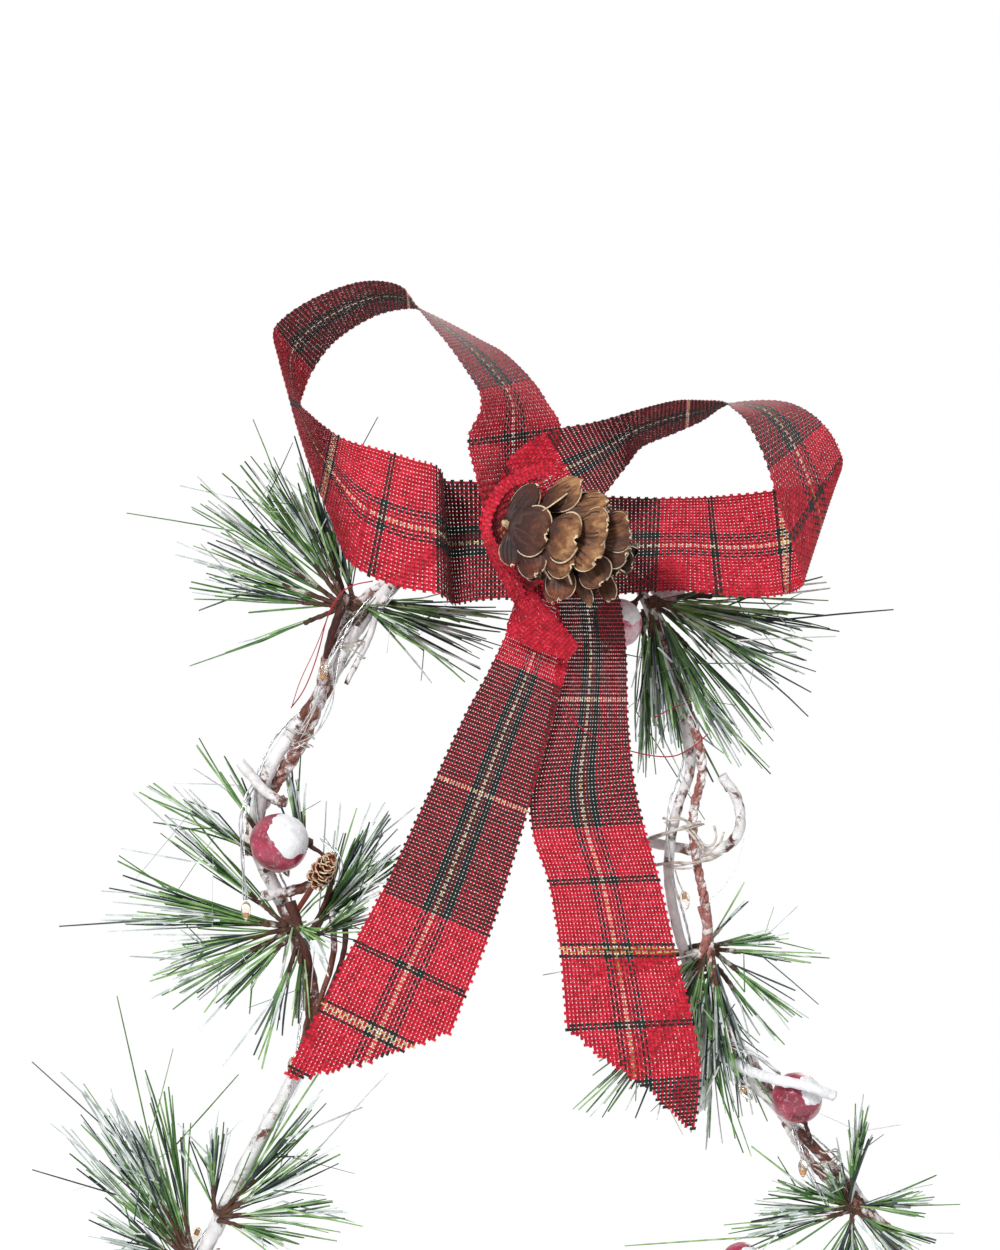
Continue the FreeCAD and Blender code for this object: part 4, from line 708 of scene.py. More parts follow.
# Pine sprigs
# Each tuft is the pixel of its root, the pixel and depth of the tips it reaches for, how wide it
# fans in degrees, and its number of needles.
SPRIG_PIXELS = {
    "sprig_top_left": [
        ((338, 604), (150, 540, -2.5), 9, 3), ((338, 602), (182, 488, -2.0), 10, 6),
        ((342, 600), (232, 458, -1.5), 10, 5),
        ((342, 596), (264, 448, -0.5), 10, 6), ((344, 594), (300, 452, 0.5), 11, 7),
        ((336, 606), (190, 590, -2.0), 13, 5),
        ((336, 610), (228, 654, -2.5), 6, 1), ((352, 596), (330, 500, 1.5), 22, 6),
        ((360, 600), (515, 618, 1.5), 9, 5),
        ((362, 602), (492, 650, 1.0), 9, 5), ((364, 606), (470, 682, 0.5), 7, 2),
        ((356, 602), (424, 640, -1.0), 16, 4),
    ],
    "sprig_top_right": [
        ((648, 598), (862, 592, 1.0), 7, 4), ((650, 600), (845, 632, 1.6), 8, 7),
        ((650, 604), (815, 690, 1.6), 9, 6),
        ((650, 600), (760, 640, -1.0), 20, 6), ((646, 610), (745, 765, 0.8), 9, 7),
        ((644, 612), (700, 775, 1.6), 9, 8),
        ((642, 612), (652, 768, 1.6), 9, 8), ((648, 606), (782, 742, 1.0), 6, 2),
        ((650, 602), (672, 745, -2.2), 10, 7), ((654, 602), (712, 735, -2.4), 9, 7),
        ((656, 598), (765, 668, -2.0), 9, 5),
        ((652, 604), (648, 715, -2.2), 8, 4),
    ],
    "sprig_mid_left": [
        ((286, 926), (104, 886, -3.0), 6, 5), ((286, 926), (112, 912, -3.5), 7, 6),
        ((290, 928), (130, 965, -3.5), 8, 5),
        ((290, 930), (160, 1000, -3.0), 12, 4), ((286, 925), (165, 820, -2.0), 8, 4),
        ((270, 868), (136, 760, -2.0), 7, 3),
        ((268, 858), (146, 790, -2.0), 5, 2), ((272, 850), (186, 735, -1.0), 5, 1),
        ((275, 845), (212, 736, 0.0), 5, 1),
        ((310, 930), (396, 842, -2.0), 13, 9), ((316, 932), (378, 800, -1.0), 13, 6),
        ((316, 936), (372, 905, -2.5), 18, 6),
        ((300, 934), (262, 1062, -2.0), 8, 3), ((302, 936), (296, 1028, -2.0), 9, 3),
        ((298, 930), (215, 1005, -3.0), 9, 3),
        ((290, 922), (330, 950, -4.0), 40, 5), ((300, 856), (286, 752, 1.0), 8, 2),
        ((306, 850), (292, 770, 1.0), 8, 2),
    ],
    "sprig_mid_right": [
        ((706, 944), (755, 888, 0.5), 6, 1), ((708, 946), (790, 936, 0.5), 8, 4),
        ((708, 948), (818, 962, 0.5), 6, 2),
        ((712, 950), (800, 1022, 0.5), 9, 3), ((704, 950), (668, 985, -0.5), 20, 6),
        ((706, 955), (660, 1040, -0.5), 14, 6),
        ((712, 960), (742, 1075, -0.5), 12, 7), ((712, 960), (700, 1090, -0.5), 14, 7),
        ((716, 985), (752, 1118, 0.0), 8, 3),
        ((712, 985), (712, 1146, 0.0), 6, 3), ((702, 950), (560, 975, 1.6), 10, 6),
        ((704, 985), (586, 1110, 1.6), 12, 8),
        ((716, 965), (775, 1045, 0.5), 8, 2), ((706, 948), (686, 1052, -2.6), 11, 5),
        ((712, 950), (728, 1070, -2.6), 10, 6), ((710, 975), (722, 1120, -2.4), 9, 4),
    ],
    "sprig_low_left": [
        ((186, 1258), (45, 1120, -2.0), 7, 4), ((186, 1256), (66, 1082, -2.0), 8, 5),
        ((188, 1255), (98, 1076, -1.5), 8, 5),
        ((190, 1254), (126, 1090, -1.0), 9, 5), ((192, 1252), (156, 1078, -0.5), 9, 4),
        ((184, 1262), (90, 1210, -2.5), 22, 6),
        ((222, 1212), (328, 1100, -1.0), 12, 5), ((222, 1214), (332, 1150, -1.6), 12, 6),
        ((222, 1216), (344, 1212, -1.6), 12, 5),
        ((220, 1220), (302, 1246, -1.6), 14, 4), ((214, 1210), (212, 1126, -1.0), 14, 7),
        ((178, 1278), (84, 1300, -1.6), 22, 7),
    ],
    "sprig_low_right": [
        ((848, 1206), (772, 1184, -1.6), 9, 5), ((848, 1208), (755, 1214, -2.0), 10, 6),
        ((848, 1212), (736, 1240, -2.0), 10, 5),
        ((850, 1196), (868, 1104, -1.0), 7, 3), ((850, 1198), (858, 1130, -1.6), 14, 6),
        ((856, 1206), (936, 1200, -1.6), 14, 6),
        ((856, 1212), (930, 1260, -2.0), 18, 7), ((852, 1214), (850, 1300, -1.6), 24, 8),
        ((850, 1208), (820, 1170, -2.5), 30, 8),
    ],
    "sprig_tier_left": [
        ((124, 1425), (20, 1440, -1.6), 30, 16),
        ((134, 1400), (80, 1300, -1.6), 24, 10),
        ((128, 1455), (60, 1540, -1.6), 24, 10),
    ],
    "sprig_tier_right": [
        ((962, 1425), (1060, 1440, -1.6), 30, 16),
        ((952, 1400), (1000, 1300, -1.6), 24, 10),
        ((956, 1460), (1020, 1540, -1.6), 24, 10),
    ],
    "sprig_notch_left": [
        ((206, 1590), (300, 1560, -1.6), 28, 14),
        ((206, 1616), (260, 1710, -1.6), 24, 10),
    ],
    "sprig_notch_right": [
        ((872, 1596), (770, 1566, -1.6), 30, 13),
        ((870, 1624), (812, 1710, -1.6), 24, 10),
    ],
    "sprig_corner_left": [
        ((72, 1872), (-30, 1850, -1.6), 30, 14),
        ((80, 1840), (10, 1760, -1.6), 22, 10),
        ((90, 1905), (20, 1990, -1.6), 24, 10),
    ],
    "sprig_corner_right": [
        ((990, 1872), (1095, 1850, -1.6), 30, 14),
        ((980, 1838), (1050, 1760, -1.6), 22, 10),
        ((974, 1905), (1040, 1990, -1.6), 24, 10),
    ],
    "sprig_bough_left": [
        ((404, 1904), (300, 1845, -1.6), 26, 14),
        ((424, 1900), (480, 1800, -1.6), 26, 12),
        ((396, 1926), (320, 1990, -1.6), 24, 8),
    ],
    "sprig_bough_right": [
        ((634, 1904), (740, 1825, -1.6), 26, 14),
        ((614, 1900), (570, 1800, -1.6), 26, 12),
        ((650, 1926), (720, 1990, -1.6), 24, 8),
    ],
}
SHOWN_SPRIGS = ("sprig_top_left", "sprig_top_right", "sprig_mid_left", "sprig_mid_right",
                "sprig_low_left", "sprig_low_right")
GOLDEN = math.pi * (3 - math.sqrt(5))
NEEDLE_TIMES = 5
NEEDLE_LONG = 0.044
NEEDLE_WIDE = 0.00076
TUFT_STEM_SHARE = 0.3
KINKED_SHARE = 0.16
FROSTED_TIP_SHARE = 0.35


TUFT_WIRE = 0.0008
SPRIG_WIRE = 0.0009


def needle_into(shape, start, toward, long, wide, bend, kink, slot, tip_slot):
    """A blade with three sides, a little bent, that narrows to its tip."""
    side = toward.cross(UPWARD)
    if side.length < 0.1:
        side = toward.cross(Vector((1, 0, 0)))
    side.normalize()
    up = toward.cross(side)
    verts = []
    shares = (0, 0.3, 0.58, 0.82, 1)
    widths = (0.6, 0.9, 1.0, 0.95, 0.7)
    for share, width in zip(shares, widths):
        place = start + toward * (long * share) + bend * (share * share) + kink * max(0, share - 0.58)
        for angle in (0.5, 2.6, 4.7):
            verts.append(place + (side * math.cos(angle) + up * math.sin(angle)) * (wide / 2 * width))
    sides = 3
    rings = len(shares) - 1
    slots = [slot] * (sides * (rings - 2)) + [tip_slot] * (sides * 2) + [slot, tip_slot]
    shape.add(verts, ring_faces(rings, sides, caps=True), slots)


def tuft_into(shape, root, tip, fan, count, rng):
    """Needles round a short wire stem that leads towards the tip."""
    heading = (tip - root).normalized()
    reach = (tip - root).length
    stem_long = reach * TUFT_STEM_SHARE
    side = heading.cross(AWAY).normalized()
    tube_into(shape, smooth_path([root, root + heading * stem_long * 0.5, root + heading * stem_long], 3),
              TUFT_WIRE, 6, 4, 0.35, FIBRE_GRAIN)
    for index in range(count):
        share = rng.uniform(0.0, 1.0)
        lean = math.radians(fan) * abs(rng.gauss(0.6, 0.55)) * (1.4 - 0.6 * share)
        lean = min(lean, math.radians(80))
        spin = rng.uniform(0, 2 * math.pi)
        toward = heading * math.cos(lean) + side * (math.sin(lean) * math.cos(spin))
        toward += AWAY * (math.sin(lean) * math.sin(spin) * 0.75)
        toward.normalize()
        start = root + heading * (stem_long * share)
        long = min(reach * (1 - TUFT_STEM_SHARE * share), NEEDLE_LONG) * rng.uniform(0.55, 1.04)
        bend = Vector([rng.gauss(0, 1) for _ in range(3)]) * long * 0.05
        kink = Vector()
        if rng.random() < KINKED_SHARE:
            kink = Vector([rng.gauss(0, 1) for _ in range(3)]) * long * 0.9
        slot = rng.choices((0, 1, 2, 3), (0.34, 0.24, 0.26, 0.16))[0]
        tip_slot = 3 if rng.random() < FROSTED_TIP_SHARE else slot
        needle_into(shape, start, toward, long, NEEDLE_WIDE * rng.uniform(0.7, 1.25), bend, kink, slot,
                    tip_slot)


def sprig(name, tufts):
    """Wire stems with many needles, tied on beside a vine."""
    rng = random.Random(name)
    path = left_vine if name.endswith("left") else right_vine
    shape = Shape()
    for (root_across, root_down), (across, down, depth_share), fan, count in tufts:
        hub = spot(root_across, root_down)
        tip = spot(across, down, depth_share * VINE)
        foot = nearest(path, hub)
        depth = math.copysign(VINE * 0.9, tip.y)
        if name in SHOWN_SPRIGS:
            root = spot(root_across, root_down, depth)
        else:
            root = foot + (tip - foot).normalized() * (VINE * 0.7) + Vector((0, depth * 0.6, 0))
        stem = [foot + AWAY * (depth * 0.5), (foot + root) / 2 + AWAY * (depth * 0.4), root]
        tube_into(shape, smooth_path(stem, 3),
                  SPRIG_WIRE, 7, 4, 0.35, FIBRE_GRAIN)
        tuft_into(shape, root, tip, fan, count * NEEDLE_TIMES, rng)
    piece = shape.build(name + "_needles", NEEDLES + [SPRIG_STEM], smooth=False)
    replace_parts(piece, name)


for name, tufts in SPRIG_PIXELS.items():
    sprig(name, tufts)

# Trim that the picture shows beside the vines: twigs, hair wires with a lamp, threads and raffia
TWIG_PIXELS = [
    (MAROON_STEM, 0.0032, [(348, 596, -1.0), (338, 616, -1.3), (329, 640, -1.3), (326, 658, -0.9)]),
    (WHITE_BARK, 0.0026,
     [(386, 596, -0.6), (375, 618, -0.6), (368, 642, -0.5), (356, 664, -0.5), (346, 684, -0.4)]),
    (MAROON_STEM, 0.0040, [(290, 902, -0.9), (300, 930, -1.2), (306, 950, -1.2), (310, 972, -0.8)]),
    (WHITE_BARK, 0.0026, [(331, 905, -1.0), (334, 930, -1.1), (334, 960, -0.9), (318, 1006, -0.8)]),
    (MAROON_STEM, 0.0022, [(344, 915, -1.0), (346, 940, -1.1), (341, 966, -1.0), (318, 1016, -0.8)]),
    (TWISTED_ROPE, 0.0040, [(703, 905, -1.1), (708, 922, -1.2), (706, 942, -1.0), (700, 958, -0.8)]),
]
for index, (paint, thick, rows) in enumerate(TWIG_PIXELS):
    twig = Shape()
    path = smooth_path(spots(rows, VINE), 3)
    tube_into(twig, path, lambda share: thick / 2 * (1 - 0.4 * share), 10, 0, 0.22, BARK_GRAIN)
    twig.build(f"twig_{index}", [paint])

LOOSE_REACH = 0.0007
LOOSE_LAY = 0.03
LOOSE_HAIR = 0.0002
LOOSE_WANDER = 0.0009
SHOWN_CHIP_DROPS = (0.0004, 0.0012, 0.0020)
SHOWN_CHIP_RADIUS = 0.0007
WIRE_PIXELS = [
    ([(256, 782, -0.9), (244, 800, -1.8), (241, 850, -2.3), (246, 900, -2.5)], 4, (246, 911, -2.5)),
    ([(322, 838, -1.2), (333, 850, -2.0), (341, 865, -2.0), (336, 886, -1.2)], 3, None),
    ([(374, 596, -0.9), (345, 630, -1.7), (325, 668, -2.0), (316, 706, -1.8), (298, 738, -0.9)], 3,
     (323, 672, -2.2)),
    ([(352, 622, -0.9), (336, 655, -1.6), (334, 700, -1.7), (318, 735, -1.4), (290, 748, -0.8)], 2, None),
    ([(697, 1034, -0.8), (722, 1040, -1.5), (752, 1052, -1.6), (780, 1074, -0.9)], 4, None),
    ([(792, 1126, -0.8), (800, 1150, -1.6), (812, 1180, -1.7), (828, 1206, -1.2)], 4, (803, 1168, -2.0)),
]
hairs = Shape()
shown_drops = Shape()
shown_chips = Shape()
for rows, strands, lamp in WIRE_PIXELS:
    path = smooth_path(spots(rows, VINE))
    hair_bundle(hairs, path, LOOSE_REACH, strands, LOOSE_LAY, LOOSE_HAIR, LOOSE_WANDER)
    if lamp:
        place = spot(*lamp[:2], lamp[2] * VINE)
        drop_into(shown_drops, place, -UPWARD)
        tube_into(shown_chips, [place - UPWARD * low for low in SHOWN_CHIP_DROPS], SHOWN_CHIP_RADIUS, 6)
hairs.build("hair_wires_shown", [SILVER_WIRE])
shown_drops.build("drops_shown", [RESIN])
shown_chips.build("chips_shown", [AMBER])

LOOSE_PIXELS = [
    (0, 0.00042,
     [(373, 581, -5.2), (350, 585, -4.6), (335, 599, -2.6), (326, 620, -2.2), (318, 655, -2.0),
      (305, 690, -2.0),
                  (291, 708, -1.6)]),
    (0, 0.00028,
     [(345, 588, -4.4), (330, 610, -2.6), (316, 648, -2.4), (300, 680, -2.2), (292, 706, -1.8)]),
    (0, 0.00042,
     [(563, 712, -5.8), (590, 736, -5.4), (623, 750, -4.6), (668, 759, -3.0), (690, 750, -2.0),
      (708, 734, -1.2)]),
    (0, 0.00042, [(654, 718, -3.6), (672, 708, -2.0), (695, 700, -1.2)]),
    (1, 0.00022, [(745, 835, -0.6), (737, 869, -1.0), (724, 887, -1.2), (709, 900, -1.2)]),
]
loose = Shape()
for slot, thick, rows in LOOSE_PIXELS:
    tube_into(loose, smooth_path(spots(rows, VINE), 4), thick / 2, 5, slot)
loose.build("loose_threads", [THREAD_RED_SHADED, SILVER_WIRE])

FIBRE_RADII = (0.00014, 0.0003)
FIBRE_REACH = (9, 15)
RAFFIA_PIXELS = [(828, 1155, 5), (300, 745, 3), (352, 640, 3)]
STRAND_PIXELS = [
    (0.0011, [(646, 841, -0.3), (668, 833, -0.9), (684, 827, -1.3), (701, 822, -0.9)]),
    (0.0008, [(649, 838, -0.3), (670, 831, -0.9), (688, 829, -1.3), (704, 824, -0.7)]),
    (0.0009, [(663, 818, -0.7), (672, 821, -1.1), (682, 818, -1.2), (690, 824, -1.1), (688, 831, -0.9)]),
    (0.0007, [(665, 823, -0.7), (676, 816, -1.1), (688, 821, -1.2), (697, 829, -0.9)]),
    (0.0010, [(686, 829, -1.2), (693, 836, -1.4), (700, 846, -1.3), (706, 857, -0.9)]),
    (0.0008, [(690, 828, -1.2), (699, 838, -1.4), (704, 849, -1.3), (702, 858, -0.9)]),
    (0.0008, [(694, 833, -1.1), (704, 846, -1.4), (713, 846, -1.3), (717, 837, -1.1), (714, 826, -0.9)]),
    (0.0007, [(701, 856, -0.9), (712, 851, -1.3), (721, 842, -1.1), (724, 832, -0.9)]),
    (0.0010, [(653, 866, -0.4), (672, 862, -0.9), (692, 864, -1.3), (708, 859, -1.2), (722, 854, -0.9)]),
    (0.0007, [(659, 864, -0.4), (678, 867, -0.9), (694, 862, -1.3), (711, 861, -1.1), (720, 855, -0.9)]),
    (0.0007, [(671, 868, -0.8), (682, 869, -1.1), (694, 868, -1.0)]),
    (0.0005, [(675, 870, -0.8), (679, 884, -0.9), (688, 901, -0.8)]),
]
fibres = Shape()
fibre_rng = random.Random(3)
for across, down, count in RAFFIA_PIXELS:
    for fibre in range(count):
        reach = fibre_rng.uniform(*FIBRE_REACH)
        tilt = fibre_rng.uniform(-0.5, 0.5)
        rise = fibre_rng.uniform(-15, 15)
        start = fibre_rng.uniform(0, 2 * math.pi)
        rows = []
        for step in range(15):
            angle = start + step * 2 * math.pi * 0.9 / 14
            sway = noise.noise(Vector((step * 0.35, fibre * 7.1, across)))
            rows.append((across + reach * math.cos(angle),
                         down + rise + tilt * reach * math.cos(angle) + 5 * sway,
                         1.25 * math.sin(angle) - 0.1))
        radius = fibre_rng.uniform(*FIBRE_RADII)
        tube_into(fibres, smooth_path(spots(rows, VINE), 2), radius, 5, 0, 0.2, FIBRE_GRAIN)
for thick, rows in STRAND_PIXELS:
    tube_into(fibres, smooth_path(spots(rows, VINE), 4), thick / 2, 5, 0, 0.2, FIBRE_GRAIN)
fibres.build("raffia_wraps", [RAFFIA])

# Berries on wire stems
BERRY_PIXELS = {
    "left_berries": ("left", [
        ((279, 843, -0.62), 1.05, [(303, 842, -2.4), (330, 858, -2.2), (334, 885, -1.9)], (305, 950)),
        ((128, 1500, -0.62), 0.9, [], (146, 1482)),
        ((120, 1745, -0.62), 1.0, [], (152, 1736)),
        ((330, 1878, -0.62), 0.85, [], (318, 1912)),
    ]),
    "right_berries": ("right", [
        ((797, 1098, -0.62), 0.92, [], (812, 1144)),
        ((692, 1093, 0.45), 0.72, [], (730, 1052)),
        ((741, 1262, -0.5), 0.72, [(768, 1288, -1.2), (850, 1308, -1.2)], (924, 1306)),
        ((905, 1470, -0.62), 0.95, [], (948, 1465)),
        ((948, 1722, -0.62), 0.85, [], (916, 1736)),
        ((720, 1880, -0.62), 0.9, [], (740, 1912)),
    ]),
    "top_berries": ("right", [
        ((617, 623, -0.35), 0.9, [], (643, 594)),
        ((668, 580, 0.45), 0.78, [], (636, 582)),
    ]),
}


def ball_into(shape, centre, wide, rough, grain, slot, axis, rings=28, sides=40):
    """A ball with an uneven skin and a dimple at one end."""
    verts = []
    side = axis.orthogonal().normalized()
    up = axis.cross(side)
    for ring in range(rings + 1):
        polar = math.pi * ring / rings
        for turn in range(sides):
            angle = 2 * math.pi * turn / sides
            round_way = side * math.cos(angle) + up * math.sin(angle)
            way = axis * math.cos(polar) + round_way * math.sin(polar)
            reach = wide / 2 * (1 + rough * noise.noise(way * grain + centre * 50))
            reach -= wide * 0.05 * math.exp(-(polar / 0.22) ** 2)
            verts.append(centre + way * reach)
    shape.add(verts, ring_faces(rings, sides, flip=True), slot)


def cap_into(shape, centre, wide, toward, spread, slot):
    """Snow on one side of a ball, thinner at its wavy edge."""
    toward = toward.normalized()
    side = toward.orthogonal().normalized()
    up = toward.cross(side)
    rings = 12
    sides = 40
    verts = []
    for ring in range(rings + 1):
        for turn in range(sides):
            angle = 2 * math.pi * turn / sides
            way = side * math.cos(angle) + up * math.sin(angle)
            wave = 0.35 * noise.noise(way * 1.6 + centre * 300) + 0.12 * noise.noise(way * 6 + centre * 300)
            polar = spread * (1 + wave) * ring / rings
            place = toward * math.cos(polar) + way * math.sin(polar)
            lift = 0.035 * (1 - (ring / rings) ** 6) + 0.012 * noise.noise(place * 5 + centre * 90)
            verts.append(centre + place * (wide / 2 * (0.985 + lift)))
    shape.add(verts, ring_faces(rings, sides, flip=True), slot)


CAP_SPREAD_DEGREES = {"left_berries": 56, "right_berries": 38, "top_berries": 34}
SNOWY_BERRIES = {("right_berries", 1): 95}
CAP_TOWARD = Vector((0.62, -0.62, 0.42))
SKIN_SHARE = 0.985
BERRY_WIRE = 0.0007
BERRY_SAG = Vector((0, -0.0008, 0.0006))
COLLAR_PLACES = (0, 0.0012, 0.0022)
COLLAR_ROOT = 0.0019
COLLAR_TAPER = 0.0011
for name, (vine, rows) in BERRY_PIXELS.items():
    path = left_vine if vine == "left" else right_vine
    shape = Shape()
    for index, ((across, down, depth_share), wide_share, via, seat_pixel) in enumerate(rows):
        wide = BERRY * wide_share
        centre = spot(across, down, depth_share * wide)
        hub = spots(via, VINE)
        aim = spot(*seat_pixel)
        foot = nearest(path, aim)
        turn = (hub[-1] if hub else centre) - foot
        foot = foot + Vector((0, math.copysign(VINE * 0.5, turn.y), 0))
        first = hub[0] if hub else foot
        toward = (first - centre).normalized()
        ball_into(shape, centre, wide * SKIN_SHARE, 0.05, 2.2, 0, toward)
        spread = SNOWY_BERRIES.get((name, index), CAP_SPREAD_DEGREES[name])
        cap_into(shape, centre, wide, CAP_TOWARD, math.radians(spread), 3)
        route = [centre + toward * (wide * 0.42)] + hub + [foot]
        if len(route) == 2:
            route.insert(1, (route[0] + route[1]) / 2 + BERRY_SAG)
        tube_into(shape, smooth_path(route, 3), BERRY_WIRE, 8, 1, 0.3, FIBRE_GRAIN)
        collar = centre + toward * (wide * 0.46)
        tube_into(shape, [collar + toward * out for out in COLLAR_PLACES],
                  lambda share: COLLAR_ROOT - COLLAR_TAPER * share, 10, 2, 0.3, FIBRE_GRAIN)
    skin = FROSTED_BERRY if name == "top_berries" else BERRY_SKIN
    piece = shape.build(name + "_skin", [skin, MAROON_STEM, BERRY_EYE, SNOW])
    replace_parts(piece, name)

# Pinecone
CONE_SPAN = (512, 631)
CONE_BASE = spot(CONE_SPAN[0], 524, -1.28 * RIBBON)
CONE_TIP = spot(CONE_SPAN[1], 560, -1.42 * RIBBON)
CONE_LONG = 0.040
CONE_WIDE = 0.041
CONE_SCALES = 30
TIP_SCALES = 9
SCALE_WIDE = 0.0165
SCALE_THICK = 0.00034
GROOVE_DEEP = 0.00018
SCALE_WAVE = 0.0006
CORE_RADIUS = 0.0080
SCALE_OUT = 0.003
TIP_OUT = 0.002
SCALE_CURLS = (0.0002, 0.0020)
SCALE_CUPS = (0.0024, 0.0040)
TIP_SCALE = (0.0095, 0.0078, 0.0012, 0.0022)
STUB_PLACES = [(0.002, 0, 0), (-0.0012, -0.001, 0), (-0.0030, -0.002, -0.0008)]
STUB_RADIUS = 0.0016
STUB_TAPER = 0.0006
CONE_REACH = 0.021
SCALE_RELIEF = 0.0004
cone_axis = (CONE_TIP - CONE_BASE).normalized()
cone_side = cone_axis.cross(UPWARD).normalized()
cone_up = cone_axis.cross(cone_side)

CONE_PAINT = Paint("cone_scale", 0.58, Specular_IOR_Level=0.35)
cone_far = CONE_PAINT.math("MULTIPLY", CONE_PAINT.distance_from_line(CONE_BASE, cone_axis),
                           1 / CONE_REACH)
cone_streak = CONE_PAINT.noise(380, detail=6, stretch=(0.35, 1, 1))
cone_value = CONE_PAINT.math(
    "ADD", cone_far, CONE_PAINT.math("MULTIPLY", CONE_PAINT.math("SUBTRACT", cone_streak, 0.5), 1.0))
# Darker towards the cone's core: partly the wood's own darker root, and partly painted shade in the
# crevices between the scales. Lighter towards the scale ends.
cone_wood_and_crevice_shade = CONE_PAINT.ramp(cone_value,
                            [(0.25, "1c0805"), (0.6, "4c2a19"), (0.85, "7a5132"), (1.15, "a87f56")])
# Painted shadow and painted red reflection: away from a spot just above the tip, towards the lower left,
# the scales turn dark red. This stands in for the knot's shadow on the cone and the red light that the
# ribbon throws back. It goes by place alone, so the small cones, which share this material, take it too.
cone_painted_shadow_bounce = CONE_PAINT.ramp(cone_value, [(0.25, "120202"), (0.7, "340606"), (1.1, "6a140e")])
SHADOW_BOUNCE_FROM = CONE_TIP + Vector((-0.002, 0, 0.010))
SHADOW_BOUNCE_WANDER = 0.012
SHADOW_BOUNCE_NEAR = 0.026
SHADOW_BOUNCE_FAR = 0.040
painted_shadow_bounce_away = CONE_PAINT.math("ADD", CONE_PAINT.distance_from_line(SHADOW_BOUNCE_FROM, AWAY),
                              CONE_PAINT.math("MULTIPLY", CONE_PAINT.noise(150), SHADOW_BOUNCE_WANDER))
painted_shadow_bounce_share = CONE_PAINT.ramp(painted_shadow_bounce_away, [(SHADOW_BOUNCE_NEAR, 0.0), (SHADOW_BOUNCE_FAR, 0.85)])
CONE_PAINT.color(CONE_PAINT.mix(painted_shadow_bounce_share, cone_wood_and_crevice_shade, cone_painted_shadow_bounce))
CONE_PAINT.bump(CONE_PAINT.noise(1500, stretch=(0.35, 1, 1)), SCALE_RELIEF)
CONE_PAINT = CONE_PAINT.material
CONE_RIM = simple("cone_rim", [(0.3, "b8946a"), (0.6, "ead6b4")], 700, 0.6)
# Painted shade: near-black streaks of random length running out from each scale's root, standing in for the
# shade in its grooves.
CONE_GROOVE_SHADE = simple("cone_groove_shade", [(0.3, "1a0805"), (0.6, "3c1f14")], 500, 0.6)


def scale_into(shape, root, heading, across, long, wide, curl, cup, rng, columns=18):
    """A papery scale: narrow at its root, broad and round at its end, cupped, grooved and rimmed."""
    normal = across.cross(heading).normalized()
    row_shares = [row / 11 for row in range(11)] + [0.975, 1.0]
    slides = [-1.0] + [(column / (columns - 2) * 2 - 1) * 0.955 for column in range(columns - 1)] + [1.0]
    top = []
    lower = []
    wave = rng.uniform(0, 6)
    notch = rng.uniform(-0.6, 0.6)
    streaks = [0.16 + 0.6 * rng.random() ** 3 for _ in range(columns)]
    for share in row_shares:
        wide_here = wide / 2 * (0.36 + 0.68 * math.sin(math.pi * min(0.5, share * 0.85)))
        if share > 0.55:
            wide_here *= math.sqrt(max(0.05, 1 - ((share - 0.55) / 0.46) ** 2.4))
        for slide in slides:
            lift = curl * share ** 3 - cup * (slide * slide) * (0.35 + 0.65 * share)
            lift += GROOVE_DEEP * math.sin(wave + slide * 19) * min(1, share * 2.2)
            lift += SCALE_WAVE * math.sin(wave + slide * 2.6) * share * share
            ragged = 1 + 0.022 * math.sin(wave * 2 + slide * 7)
            ragged -= 0.035 * math.exp(-((slide - notch) / 0.12) ** 2)
            place = root + heading * (long * share * ragged * (1 - 0.06 * slide * slide))
            place += across * (wide_here * slide) + normal * lift
            top.append(place)
            lower.append(place - normal * SCALE_THICK)
    verts = top + lower
    base = len(top)
    stride = columns + 1
    rows = len(row_shares) - 1
    faces = []
    slots = []
    for row in range(rows):
        for column in range(columns):
            a = row * stride + column
            faces.append((a, a + 1, a + 1 + stride, a + stride))
            faces.append((base + a, base + a + stride, base + a + 1 + stride, base + a + 1))
            # Slot 2 paints groove shade as dark streaks from the root. Slot 1 is the rim.
            at_edge = row == rows - 1 or (column in (0, columns - 1) and row_shares[row] > 0.3)
            slots += [1 if at_edge else 2 if row_shares[row] < streaks[column] else 0, 0]
    border = [row * stride for row in range(rows + 1)]
    border += [rows * stride + column for column in range(1, columns + 1)]
    border += [row * stride + columns for row in range(rows - 1, -1, -1)]
    border += [column for column in range(columns - 1, 0, -1)]
    for index, a in enumerate(border):
        b = border[(index + 1) % len(border)]
        faces.append((a, b, base + b, base + a))
        slots.append(1)
    shape.add(verts, faces, slots)


